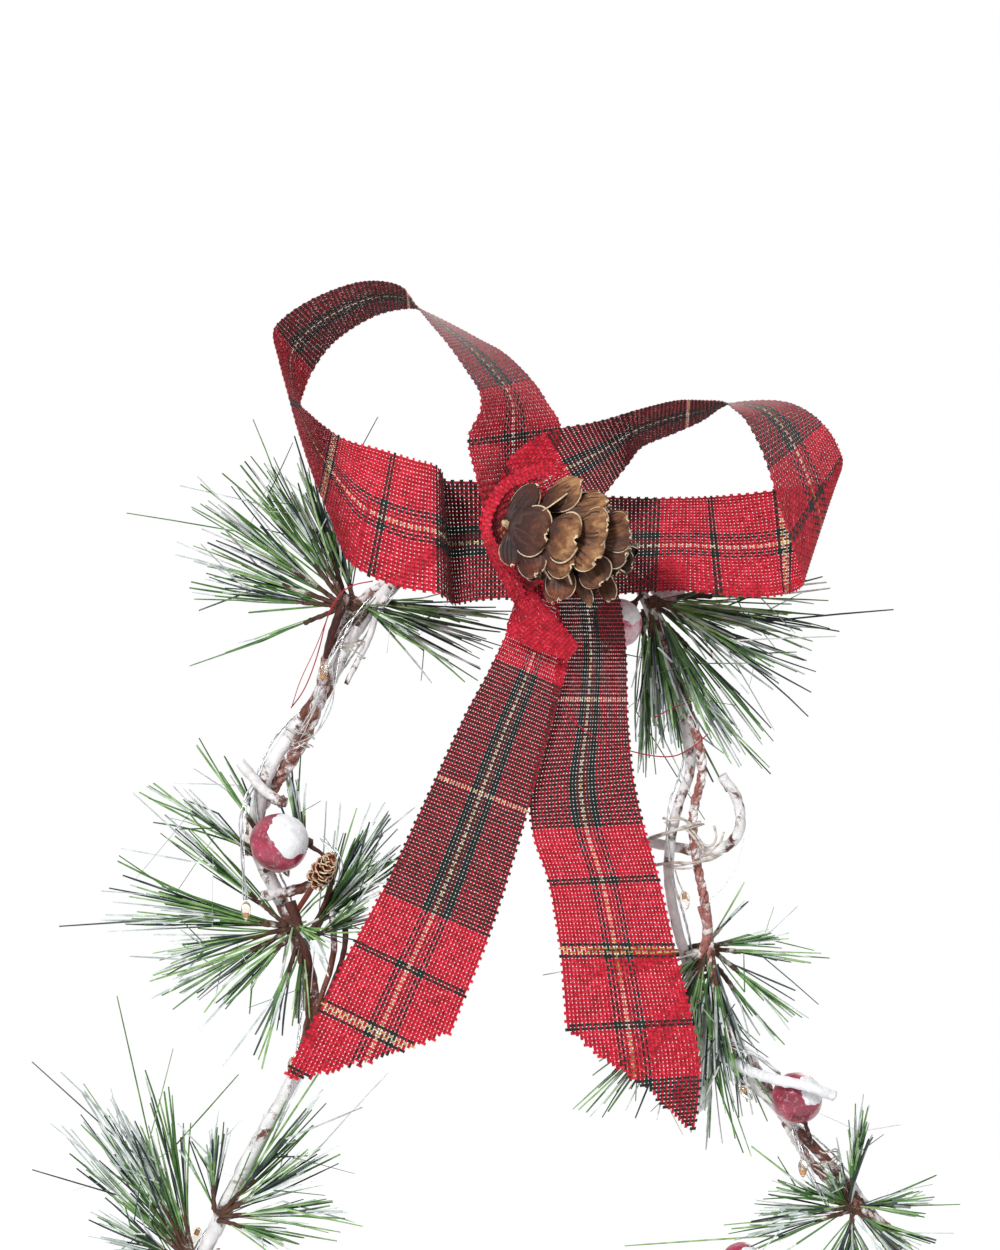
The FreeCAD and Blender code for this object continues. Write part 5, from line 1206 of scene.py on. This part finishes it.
# The scales the picture shows: root and end pixel, how far each lies in front of the cone's
# middle in millimetres, width in pixels, curl and cup in millimetres
FRONT_SCALES = [
    ((508, 521, 4), (538, 484, 7), 26, 0.5, 1.5), ((509, 523, 7), (548, 536, 15), 50, 0.6, 2.6),
    ((541, 504, 5), (583, 482, 9), 36, 1.2, 2.2), ((544, 530, 12), (577, 541, 20), 50, 0.8, 2.8),
    ((541, 548, 10), (572, 566, 17), 40, 0.4, 2.4), ((565, 508, 8), (609, 503, 13), 32, 1.4, 2.2),
    ((575, 528, 13), (608, 525, 18), 40, 0.8, 2.4), ((572, 541, 14), (597, 560, 19), 38, 0.5, 2.4),
    ((583, 558, 10), (602, 584, 13), 36, 0.4, 2.2), ((598, 528, 10), (630, 520, 12), 26, 1.8, 1.8),
    ((600, 540, 11), (632, 535, 13), 28, 1.2, 2.0), ((598, 548, 9), (627, 556, 12), 30, 0.6, 2.0),
    ((600, 572, 3), (610, 602, 5), 20, 0.6, 1.4), ((520, 543, 6), (537, 575, 12), 34, 0.2, 1.8),
    ((560, 562, 6), (559, 601, 9), 30, 0.3, 1.8), ((573, 575, 3), (592, 607, 4), 16, 0.8, 1.0),
    ((512, 530, 3), (512, 566, 7), 28, 0.0, 1.2), ((545, 575, 2), (553, 604, 4), 18, 0.6, 1.0),
    ((565, 500, -2), (600, 494, 1), 30, 1.2, 2.0), ((590, 520, 1), (628, 514, 3), 26, 1.0, 1.8),
]


def pinecone():
    """Core, scales in a spiral, small scales at the tip, and the scales that the picture shows."""
    rng = random.Random(7)
    shape = Shape()
    core = [CONE_BASE + cone_axis * (CONE_LONG * share) for share in (0.02, 0.1, 0.3, 0.6, 0.85, 0.94)]
    tube_into(shape, smooth_path(core, 2),
              lambda share: CORE_RADIUS * math.sin(math.pi * (0.12 + 0.8 * share)) ** 0.8, 14, 0, 0.2,
              600)
    stub = [CONE_BASE + cone_axis * out + Vector((0, away, rise)) for out, away, rise in STUB_PLACES]
    tube_into(shape, smooth_path(stub, 2), lambda share: STUB_RADIUS - STUB_TAPER * share, 10, 1, 0.45,
              FIBRE_GRAIN)
    for index in range(CONE_SCALES):
        share = (index + 0.5) / CONE_SCALES
        angle = GOLDEN * index + rng.uniform(-0.12, 0.12)
        radial = cone_side * math.cos(angle) + cone_up * math.sin(angle)
        if radial.y < -0.25:
            continue
        across = cone_axis.cross(radial)
        lean = math.radians(60 - 40 * share + rng.uniform(-6, 6))
        heading = radial * math.sin(lean) + cone_axis * math.cos(lean)
        bulge = math.sin(math.pi * (0.34 + 0.52 * share)) ** 0.7
        long = CONE_WIDE / 2 * bulge * rng.uniform(0.9, 1.05)
        root = CONE_BASE + cone_axis * (CONE_LONG * (0.02 + 0.60 * share)) + radial * SCALE_OUT
        wide = SCALE_WIDE * (0.5 + 0.62 * bulge) * rng.uniform(0.92, 1.08)
        curl = rng.uniform(*SCALE_CURLS)
        cup = rng.uniform(*SCALE_CUPS)
        scale_into(shape, root, heading, across, long, wide, curl, cup, rng)
    for index in range(TIP_SCALES):
        angle = GOLDEN * index
        radial = cone_side * math.cos(angle) + cone_up * math.sin(angle)
        lean = math.radians(34 - 22 * index / TIP_SCALES)
        root = CONE_BASE + cone_axis * (CONE_LONG * (0.66 + 0.14 * index / TIP_SCALES)) + radial * TIP_OUT
        heading = radial * math.sin(lean) + cone_axis * math.cos(lean)
        scale_into(shape, root, heading, cone_axis.cross(radial), *TIP_SCALE, rng, 10)
    for root, end, wide, curl, cup in FRONT_SCALES:
        places = []
        for across, down, front in (root, end):
            share = (across - CONE_SPAN[0]) / (CONE_SPAN[1] - CONE_SPAN[0])
            depth = CONE_BASE.y + (CONE_TIP.y - CONE_BASE.y) * share - front * MM
            places.append(spot(across, down, depth))
        long = (places[1] - places[0]).length
        heading = (places[1] - places[0]) / long
        middle = (places[0] + places[1]) * 0.5
        outward_way = middle - CONE_BASE
        outward_way = (outward_way - cone_axis * outward_way.dot(cone_axis)).normalized() + Vector((0,
                                                                                                    -0.8,
                                                                                                    0))
        across = heading.cross(outward_way).normalized()
        scale_into(shape, places[0], heading, across, long, wide * PIXEL, curl * MM, cup * MM, rng, 22)
    piece = shape.build("pinecone_scales", [CONE_PAINT, CONE_RIM, CONE_GROOVE_SHADE])
    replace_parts(piece, "pinecone")


pinecone()

# Small cones
SMALL_CONE_PIXELS = [
    ("left", (322, 872, -3.9), (290, 920)),
    ("right", (866, 1520, -2.0), (914, 1524)),
    ("left", (180, 1655, -2.0), (200, 1640)),
]
SMALL_SCALES = 40
SMALL_HALF = 0.006
SMALL_LONG = 0.0125
SMALL_SCALE_LONG = 0.0046
SMALL_SCALE = (0.0036, 0.0003, 0.0004)
SMALL_CORE_BACK = 0.004
SMALL_STEM = 0.0009
small = Shape()
small_rng = random.Random(11)
for vine, middle_pixel, seat_pixel in SMALL_CONE_PIXELS:
    path = left_vine if vine == "left" else right_vine
    middle = spot(*middle_pixel[:2], middle_pixel[2] * VINE)
    aim = spot(*seat_pixel)
    foot = nearest(path, aim)
    heading = (foot - middle).normalized()
    side = heading.orthogonal().normalized()
    up = heading.cross(side)
    start = middle + heading * SMALL_HALF
    for index in range(SMALL_SCALES):
        share = (index + 0.5) / SMALL_SCALES
        angle = GOLDEN * index
        radial = side * math.cos(angle) + up * math.sin(angle)
        root = start - heading * (SMALL_LONG * share)
        lean = math.radians(75 - 50 * share)
        way = radial * math.sin(lean) - heading * math.cos(lean)
        long = SMALL_SCALE_LONG * math.sin(math.pi * (0.22 + 0.66 * share)) ** 0.6
        scale_into(small, root, way, heading.cross(radial), long, *SMALL_SCALE, small_rng, 4)
    core = [middle - heading * SMALL_CORE_BACK, middle, start, foot - heading * VINE * 0.5]
    tube_into(small, smooth_path(core, 2), SMALL_STEM, 8, 0, 0.3, FIBRE_GRAIN)
small_piece = small.build("small_cones_wood", [CONE_PAINT, CONE_RIM, CONE_GROOVE_SHADE])
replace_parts(small_piece, "small_cones")

# Ribbon, woven thread by thread
PITCH = 0.00125
THREAD_SHARE = 0.77
TILT_SHARE = 0.17
THREAD_ARCH = 0.00026
THREAD_LIFT = 0.00017
FLOAT_REACH = 0.74
FLOAT_DIVE = 0.8
FRAY_SHARE = 0.35
GOLD_WIDE_SHARE = 0.55
RED_SHADED, DARK, GOLD, BROWN, RED_LIT = range(5)
STRIPE = [DARK, DARK, BROWN, GOLD, BROWN, BROWN, DARK, DARK]
WARP_TONES = [RED_SHADED] * 12 + STRIPE + [RED_SHADED] * 12


def spline(points, samples=12):
    """A curve through the points, that keeps its speed even."""
    points = [Vector(p) for p in points]
    ends = [points[0] * 2 - points[1]] + points + [points[-1] * 2 - points[-2]]
    found = []
    for index in range(1, len(ends) - 2):
        p0, p1, p2, p3 = ends[index - 1:index + 3]
        t1 = max((p1 - p0).length, 1e-6) ** 0.5
        t2 = t1 + max((p2 - p1).length, 1e-6) ** 0.5
        t3 = t2 + max((p3 - p2).length, 1e-6) ** 0.5
        for step in range(samples):
            t = t1 + (t2 - t1) * step / samples
            a1 = p0 * ((t1 - t) / t1) + p1 * (t / t1)
            a2 = p1 * ((t2 - t) / (t2 - t1)) + p2 * ((t - t1) / (t2 - t1))
            a3 = p2 * ((t3 - t) / (t3 - t2)) + p3 * ((t - t2) / (t3 - t2))
            b1 = a1 * ((t2 - t) / t2) + a2 * (t / t2)
            b2 = a2 * ((t3 - t) / (t3 - t1)) + a3 * ((t - t1) / (t3 - t1))
            found.append(b1 * ((t2 - t) / (t2 - t1)) + b2 * ((t - t1) / (t2 - t1)))
    found.append(points[-1])
    return found


def rows_along(edges, pitch):
    """Near and far points at even distances along a ribbon, for each crossing thread."""
    near = spline([pair[0] for pair in edges])
    far = spline([pair[1] for pair in edges])
    near_array = np.array([tuple(p) for p in near])
    far_array = np.array([tuple(p) for p in far])
    middle = (near_array + far_array) / 2
    along = distances_along(middle)
    count = int(along[-1] / pitch)
    at = (np.arange(count) + 0.5) * along[-1] / count
    return places_at(at, along, near_array), places_at(at, along, far_array), at


def floats_into(shape, centre, along, across, normal, tones):
    """Where a thread lies on top: an arched patch along it, whose ends dive under its neighbours."""
    verts = []
    for reach, rise in ((-1, -FLOAT_DIVE), (0, 1), (1, -FLOAT_DIVE)):
        for side in (-1, 0, 1):
            lift = THREAD_LIFT * rise + THREAD_ARCH * (0.5 - abs(side))
            verts.append(centre + along * (reach * FLOAT_REACH) + across * side + normal * lift)
    verts = np.stack(verts, axis=1).reshape(-1, 3)
    patch = np.array([(0, 1, 4, 3), (1, 2, 5, 4), (3, 4, 7, 6), (4, 5, 8, 7)])
    faces = (np.arange(len(centre))[:, None, None] * 9 + patch[None]).reshape(-1, 4)
    shape.add(verts.tolist(), faces.tolist(), np.repeat(tones, 4).tolist())


THREAD_WIDTHS = (0.94, 1.05)
THREAD_STRAY = 0.03
FRINGE = 1.4


def weave_into(shape, edges, bars, tones, first, last, cut):
    """A length of woven ribbon between two shares of its stations, one patch where threads cross.
    A cut is the pair of distances where it ends at its near and at its far edge."""
    near, far, at = rows_along(edges, PITCH)
    rows = np.arange(len(at))
    keep = (at >= at[-1] * first) & (at <= at[-1] * last)
    near, far, at, rows = near[keep], far[keep], at[keep], rows[keep]
    warps = len(tones)
    random_rows = np.random.default_rng(len(at) + warps)
    shares = (np.arange(warps) + 0.5) / warps
    places = near[:, None] + (far - near)[:, None] * shares[None, :, None]
    along = np.gradient(places, axis=0)
    across = np.repeat(((far - near) / warps)[:, None], warps, axis=1)
    normal = np.cross(across, along)
    normal /= np.linalg.norm(normal, axis=2)[:, :, None]
    facing = np.abs(normal[:, :, 1:2])
    wide = THREAD_SHARE + TILT_SHARE * (1 - facing)
    wide = wide * random_rows.uniform(*THREAD_WIDTHS, wide.shape)
    over = (rows[:, None] + np.arange(warps)[None]) % 2 == 0
    warp_tones = np.repeat(np.array(tones)[None], len(at), axis=0)
    weft_tones = np.repeat(np.array([weft_tone(distance, bars) for distance in at])[:, None], warps,
                           axis=1)
    kept = np.ones(over.shape, dtype=bool)
    if cut:
        fringe = random_rows.uniform(0, FRINGE, warps) * PITCH
        kept = at[:, None] < cut[0] + (cut[1] - cut[0]) * shares[None] + fringe[None]
    places = places + along * random_rows.normal(0, THREAD_STRAY, wide.shape)
    places = places + across * random_rows.normal(0, THREAD_STRAY, wide.shape)
    ends = np.zeros(over.shape)
    ends[:, 0] = -1
    ends[:, -1] = 1
    fray_share = FRAY_SHARE if bars else 0
    stretch = 1 + fray_share * np.abs(ends) * random_rows.uniform(0.3, 1, ends.shape)
    for top, heading, aside, tone in ((over, along, across, warp_tones),
                                      (~over, across, along, weft_tones)):
        chosen = top & kept
        width = aside[chosen] * (wide[chosen] / 2)
        reach = heading[chosen] * (1 if top is over else stretch[chosen][:, None])
        thin = np.where(tone[chosen] == GOLD, GOLD_WIDE_SHARE, 1)[:, None]
        floats_into(shape, places[chosen], reach, width * thin, normal[chosen], tone[chosen])
    return sum(cut) / 2 if cut else at[-1] - at[0] + PITCH


def weft_tone(distance, bars):
    """Which thread crosses the ribbon at a distance: bars are (from, to, tone) in metres."""
    for start, end, tone in bars:
        if start <= distance < end:
            return tone
    # Outside the bars, the wefts take the lighter copy of the red, which is a painted highlight.
    return RED_LIT


DARK_LONG = 82 * MM
RED_LONG = 82 * MM
LINE = 2 * PITCH


BAR_REPEATS = 3
RED_LINE_SHARES = (0.22, 0.78)


def tartan_bars(dark_ends):
    """Bars along a ribbon whose dark zone ends at a distance: dark zones, and lines on the red."""
    bars = []
    for repeat in range(-BAR_REPEATS, BAR_REPEATS + 1):
        end = dark_ends + repeat * (DARK_LONG + RED_LONG)
        middle = end - DARK_LONG / 2
        bars += [(middle - PITCH / 2, middle + PITCH / 2, GOLD), (end - DARK_LONG, end, DARK)]
        for share in RED_LINE_SHARES:
            centre = end + RED_LONG * share
            bars.append((centre - LINE / 2, centre + LINE / 2, DARK))
        centre = end + RED_LONG / 2
        bars += [(centre - LINE / 2, centre + LINE / 2, GOLD), (centre - LINE, centre + LINE, DARK)]
    return bars


LOOP_PIXELS = [
    (496, 558, 545, 478, -0.55), (478, 484, 552, 470, -0.48), (469, 440, 561, 424, -0.54),
    (481, 412, 548, 400, -0.6), (480, 395, 535, 380, -0.65), (466, 372, 505, 350, -0.68),
    (449, 348, 480, 336, -0.68),
    (428, 323, 442, 316, -0.68), (416, 308, 416, 305, -0.68), (403, 291, 402, 305, -0.68),
    (370, 285, 376, 311, -0.68), (327, 297, 344, 329, -0.68), (290, 318, 325, 346, -0.68),
    (276, 334, 308, 372, -0.68), (281, 362, 301, 390, -0.68), (290, 395, 298, 402, -0.68),
    (300, 432, 306, 410, -0.68), (315, 478, 322, 424, -0.72), (331, 518, 344, 438, -0.8),
    (350, 562, 376, 448, -0.85), (398, 588, 413, 458, -0.85), (438, 597, 436, 463, -0.8),
    (448, 601, 442, 472, -0.72), (456, 604, 443, 480, -0.48), (480, 600, 480, 481, -0.38),
    (545, 598, 545, 488, -0.36), (610, 595, 610, 496, -0.36), (676, 591, 684, 497, -0.36),
    (742, 597, 728, 495, -0.36), (780, 595, 772, 490, -0.4), (801, 586, 838, 476, -0.46),
    (794, 556, 845, 460, -0.56), (781, 519, 842, 447, -0.64), (772, 489, 833, 430, -0.68),
    (757, 447, 816, 412, -0.68), (741, 420, 792, 400, -0.68), (730, 411, 757, 398, -0.68),
    (722, 405, 728, 403, -0.68), (700, 403, 705, 418, -0.68), (675, 403, 676, 431, -0.68),
    (640, 411, 645, 444, -0.66),
]
LOOP_END_PIXELS = [
    (606, 419, 628, 464, -0.88, -0.44), (585, 424, 614, 482, -0.74, -0.54),
    (561, 428, 602, 497, -0.7, -0.58),
    (538, 436, 584, 510, -0.7, -0.62), (507, 461, 545, 525, -0.74, -0.68),
    (499, 480, 522, 534, -0.8, -0.76),
]
LEFT_TAIL_PIXELS = [
    (522, 576, 552, 582, -0.72, -0.66), (518, 598, 560, 614, -0.76, -0.68),
    (511, 622, 569, 648, -0.8, -0.7),
    (490, 668, 559, 698, -0.82, -0.68), (465, 715, 546, 746, -0.82, -0.66),
    (430, 790, 523, 827, -0.8, -0.66), (385, 885, 491, 930, -0.74, -0.66),
    (345, 960, 458, 1014, -0.7, -0.62),
    (315, 1018, 434, 1076, -0.68, -0.6), (285, 1075, 410, 1137, -0.66, -0.58),
]
RIGHT_TAIL_PIXELS = [
    (560, 578, 612, 578, -0.575, -0.615), (556, 600, 620, 600, -0.655, -0.72),
    (558, 650, 626, 650, -0.64, -0.66),
    (548, 720, 628, 720, -0.61, -0.56), (530, 790, 634, 780, -0.6, -0.5),
    (533, 835, 645, 830, -0.58, -0.46),
    (548, 880, 658, 875, -0.56, -0.46), (560, 950, 675, 950, -0.54, -0.46),
    (567, 1030, 693, 1024, -0.52, -0.46), (573, 1085, 700, 1075, -0.5, -0.46),
    (577, 1160, 692, 1150, -0.48, -0.46),
]
KNOT_PIXELS = [
    (562, 470, 562, 470, -1.16, -0.92), (530, 470, 532, 472, -1.2, -0.92),
    (501, 483, 512, 489, -1.24, -0.92),
    (486, 502, 500, 507, -1.26, -0.9), (481, 526, 497, 526, -1.26, -0.88),
    (492, 552, 505, 545, -1.2, -0.85),
    (510, 574, 522, 565, -1.08, -0.8), (530, 590, 540, 583, -0.94, -0.708),
]
RIM_PIXELS = [
    (566, 464, 562, 477, -1.16, -1.19), (548, 463, 549, 476, -1.18, -1.22),
    (530, 466, 533, 478, -1.2, -1.25),
    (514, 473, 519, 484, -1.22, -1.27), (499, 484, 508, 491, -1.24, -1.29),
    (487, 500, 498, 505, -1.26, -1.31),
    (481, 516, 492, 519, -1.26, -1.31), (481, 533, 492, 532, -1.25, -1.3),
    (487, 552, 499, 547, -1.2, -1.25),
    (496, 570, 511, 563, -1.1, -1.14), (506, 590, 521, 582, -0.98, -1.0),
    (514, 604, 527, 599, -0.9, -0.92),
]
FLAP_PIXELS = [
    (517, 596, 525, 582, -0.96, -0.92), (511, 613, 533, 590, -0.95, -0.9),
    (507, 631, 547, 606, -0.93, -0.86),
    (531, 648, 560, 622, -0.9, -0.84), (553, 656, 571, 635, -0.87, -0.82),
    (568, 661, 579, 646, -0.85, -0.8),
]


def turned_edges(rows):
    """Near and far edge points of a ribbon that keeps its whole width."""
    found = []
    for near_across, near_down, far_across, far_down, depth_share in rows:
        depth = depth_share * RIBBON
        near = spot(near_across, near_down, depth)
        far = spot(far_across, far_down, depth)
        middle = (near + far) * 0.5
        shown = min((far - near).length, RIBBON)
        half = (far - near).normalized() * (shown / 2)
        turn = Vector((0, math.sqrt(max(RIBBON ** 2 - shown ** 2, 0)) / 2, 0))
        found.append((middle - half - turn, middle + half + turn))
    return found


def straight_edges(rows):
    """Near and far edge points whose depths are given apart."""
    return [(spot(a, b, near * RIBBON), spot(c, d, far * RIBBON)) for a, b, c, d, near, far in rows]


loop_edges = turned_edges(LOOP_PIXELS) + straight_edges(LOOP_END_PIXELS)
left_tail_edges = straight_edges(LEFT_TAIL_PIXELS)
right_tail_edges = straight_edges(RIGHT_TAIL_PIXELS)
knot_edges = straight_edges(KNOT_PIXELS)
rim_edges = straight_edges(RIM_PIXELS)
flap_edges = straight_edges(FLAP_PIXELS)
LOOP_DARK_END = 0.290
LEFT_DARK_END = 0.112
RIGHT_DARK_END = 0.080
LOOP_BARS = tartan_bars(LOOP_DARK_END)
LEFT_TAIL_CUT = (0.181, 0.143)
RIGHT_TAIL_CUT = (0.144, 0.180)
KNOT_TONES = [RED_SHADED] * 12
RIM_TONES = [RED_SHADED] * 4
RIBBONS = {
    "ribbon_loop_left": ("bow_loops", [(loop_edges, LOOP_BARS, WARP_TONES, 0.0, 0.5, None)]),
    "ribbon_loop_right": ("bow_loops", [(loop_edges, LOOP_BARS, WARP_TONES, 0.5, 1.0, None)]),
    "ribbon_tail_left": (
        "bow_left_tail",
        [(left_tail_edges, tartan_bars(LEFT_DARK_END), WARP_TONES, 0.0, 1.0, LEFT_TAIL_CUT),
                          (flap_edges, [], KNOT_TONES, 0.0, 1.0, None)]),
    "ribbon_tail_right": (
        "bow_right_tail",
        [(right_tail_edges, tartan_bars(RIGHT_DARK_END), WARP_TONES, 0.0, 1.0, RIGHT_TAIL_CUT)]),
    "ribbon_knot": (
        "bow_knot",
        [(knot_edges, [], KNOT_TONES, 0.0, 1.0, None), (rim_edges, [], RIM_TONES, 0.0, 1.0, None)]),
}
for name, (node, panels) in RIBBONS.items():
    shape = Shape()
    most = max(len(panel[2]) for panel in panels)
    long = sum(weave_into(shape, *panel) * len(panel[2]) / most for panel in panels)
    wide = RIBBON * most / len(WARP_TONES)
    print(name, "length", round(long, 4), "width", round(wide, 4))
    piece = shape.build(name, TARTAN)
    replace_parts(piece, node)

# Base: log slice, felt, trunk
SLAB_LOW = 0.002
SLAB_HIGH = 0.020
SLAB_RADIUS = 0.080
TRUNK_RADIUS = 0.009
TRUNK_OVER = 0.017
SLAB_CHAMFER = 0.002
TRUNK_CHAMFER = 0.0006
TRUNK_SUNK = 0.001
SLAB_ROUGH = 0.0009
BARK_DEEP = 0.0015
BARK_FINE = 0.0004
RING_DEEP = 0.0003
FELT_DEEP = 0.0004
TRUNK_ROUGH = 0.0006
TRUNK_TOP = BOUGH.z + TRUNK_OVER
BARK = Paint("bark", 0.85, Specular_IOR_Level=0.2)
bark_grain = BARK.noise(90, detail=8, stretch=(1, 1, 0.3), rough=0.7)
BARK.color(BARK.ramp(bark_grain, [(0.3, "2c1f17"), (0.5, "5b4433"), (0.66, "83684f"), (0.8, "a99883")]))
BARK.bump(bark_grain, BARK_DEEP, 0.8)
BARK.bump(BARK.noise(700), BARK_FINE)
BARK = BARK.material


RING_MIDDLE = (0.004, -0.003, 0)
RING_WOBBLE = 0.006
RINGS_PER_METRE = 2600


def ring_wood(name, tones):
    """End grain: rings round the axis."""
    paint = Paint(name, 0.7, Specular_IOR_Level=0.25)
    away = paint.distance_from_line(RING_MIDDLE, UPWARD)
    wobble = paint.math("MULTIPLY", paint.noise(30, detail=3), RING_WOBBLE)
    turned = paint.math("MULTIPLY", paint.math("ADD", away, wobble), RINGS_PER_METRE)
    rings = paint.math("SINE", turned, 0)
    grain = paint.math("ADD", paint.math("MULTIPLY", rings, 0.22), paint.noise(160, detail=6))
    paint.color(paint.ramp(grain, tones))
    paint.bump(grain, RING_DEEP, 0.5)
    return paint.material


END_GRAIN = ring_wood("end_grain", [(0.25, "9a7449"), (0.5, "c7a171"), (0.75, "dcc097")])


def log_into(shape, radius, low, high, chamfer, sides, rows, rough, grain, top_slot, bark_slot):
    """A log slice with rough bark round it and a flat cut above and below."""
    verts = []
    heights = [(low, radius - chamfer), (low + chamfer, radius)]
    heights += [(low + chamfer + (high - low - 2 * chamfer) * r / rows, radius) for r in range(1, rows)]
    heights += [(high - chamfer, radius), (high, radius - chamfer)]
    for height, wide in heights:
        for turn in range(sides):
            angle = 2 * math.pi * turn / sides
            way = Vector((math.cos(angle), math.sin(angle), 0))
            ridges = noise.noise(Vector((way.x * grain, way.y * grain, height * grain * 4)))
            fine = noise.noise(Vector((way.x * grain * 5, way.y * grain * 5, height * grain * 16)))
            lobes = noise.noise(way * 1.3)
            reach = wide * (0.985 + 0.012 * lobes) + rough * (ridges + 0.5 * fine)
            verts.append(way * reach + UPWARD * height)
    faces = ring_faces(len(heights) - 1, sides)
    slots = [bark_slot] * len(faces)
    steps = 10
    for level, flip in ((0, True), (len(heights) - 1, False)):
        ring = [level * sides + turn for turn in range(sides)]
        for step in range(1, steps):
            share = 1 - step / steps
            inner = []
            for turn in range(sides):
                outer = verts[level * sides + turn]
                inner.append(len(verts))
                verts.append(Vector((outer.x * share, outer.y * share, outer.z)))
            for turn in range(sides):
                quad = (ring[turn], ring[(turn + 1) % sides], inner[(turn + 1) % sides], inner[turn])
                faces.append(quad[::-1] if flip else quad)
                slots.append(top_slot)
            ring = inner
        faces.append(tuple(ring[::-1]) if flip else tuple(ring))
        slots.append(top_slot)
    shape.add(verts, faces, slots)


slab = Shape()
log_into(slab, SLAB_RADIUS, SLAB_LOW, SLAB_HIGH, SLAB_CHAMFER, 220, 8, SLAB_ROUGH, 26, 0, 1)
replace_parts(slab.build("log_slice", [END_GRAIN, BARK]), "base_slab")
trunk = Shape()
log_into(trunk, TRUNK_RADIUS, SLAB_HIGH - TRUNK_SUNK, TRUNK_TOP, TRUNK_CHAMFER, 48, 60, TRUNK_ROUGH, 9, 0,
         1)
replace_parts(trunk.build("trunk_bark", [END_GRAIN, BARK]), "trunk_stem")

WRAP = 0.0024
WRAP_PITCH = 0.0032
WRAP_LOW = 0.026
WRAP_LAY = 0.006
WRAP_TURNS = 5
WRAP_STEPS = 16
WRAP_RADIUS = TRUNK_RADIUS + WRAP / 2 + TRIM_GAP / 2
wrap_points = []
for step in range(WRAP_TURNS * WRAP_STEPS + 1):
    angle = 2 * math.pi * step / WRAP_STEPS
    wrap_points.append(Vector((math.cos(angle) * WRAP_RADIUS, math.sin(angle) * WRAP_RADIUS,
                               WRAP_LOW + WRAP_PITCH * step / WRAP_STEPS)))
rope("wrap_rope", wrap_points, WRAP, RAFFIA, "trunk_wrap", 2, WRAP_LAY)

FELT = Paint("felt_green", 0.95, Sheen_Weight=0.4, Specular_IOR_Level=0.1)
FELT.color(FELT.ramp(FELT.noise(900, detail=6), [(0.3, "12301c"), (0.7, "23512f")]))
FELT.bump(FELT.noise(2200), FELT_DEEP)
BOX_PLASTIC = simple("box_plastic", [(0.3, "0d0d0e"), (0.7, "18181a")], 200, 0.45, 0.00006, fine=2600)
SLIDER_PLASTIC = simple("slider_plastic", [(0.3, "cfcfcf"), (0.7, "e4e4e2")], 300, 0.4, 0.00005,
                        fine=2000)
FOAM = simple("foam", [(0.3, "c9c8c2"), (0.7, "e3e2dc")], 1200, 0.9, 0.0002, fine=2400)
BOARD = simple("board_mask", [(0.3, "0c4020"), (0.7, "135c2e")], 500, 0.35, 0.00005)
TINNED = simple("tinned", [(0.3, "8d8f91"), (0.7, "c4c6c8")], 500, 0.3, 0.00004, Metallic=1.0)
CELL = simple("cell_jacket", [(0.3, "16171b"), (0.7, "2a2c33")], 260, 0.3, 0.00003)
LEAD_COAT = simple("lead_coat", [(0.3, "a6a8a9"), (0.7, "d0d2d2")], 300, 0.35, 0.00004)
TIE = simple("florist_wire", [(0.3, "143a1e"), (0.7, "2b5a34")], 500, 0.5, 0.00005)
for node, paint in {
        "base_felt": FELT.material, "battery_box": BOX_PLASTIC, "battery_lid": BOX_PLASTIC,
        "switch_slider": SLIDER_PLASTIC, "foam_tape": FOAM, "timer_board": BOARD, "switch_body": TINNED,
        "aa_cells": CELL, "contact_springs": TINNED, "contact_plates": TINNED, "battery_lead": LEAD_COAT,
        "splice_sleeve": LEAD_COAT, "lead_grommet": BOX_PLASTIC, "trunk_screw": TINNED,
        "bow_tie_wire": TIE}.items():
    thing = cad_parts[node]
    thing.data.materials.clear()
    thing.data.materials.append(paint)
EDGE_WIDTHS = {"battery_box": 0.0009, "battery_lid": 0.0004, "switch_slider": 0.0003}
for node, edge in EDGE_WIDTHS.items():
    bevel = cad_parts[node].modifiers.new("edge", "BEVEL")
    bevel.width = edge
    bevel.segments = 3
    bevel.limit_method = "ANGLE"
    bevel.angle_limit = math.radians(50)
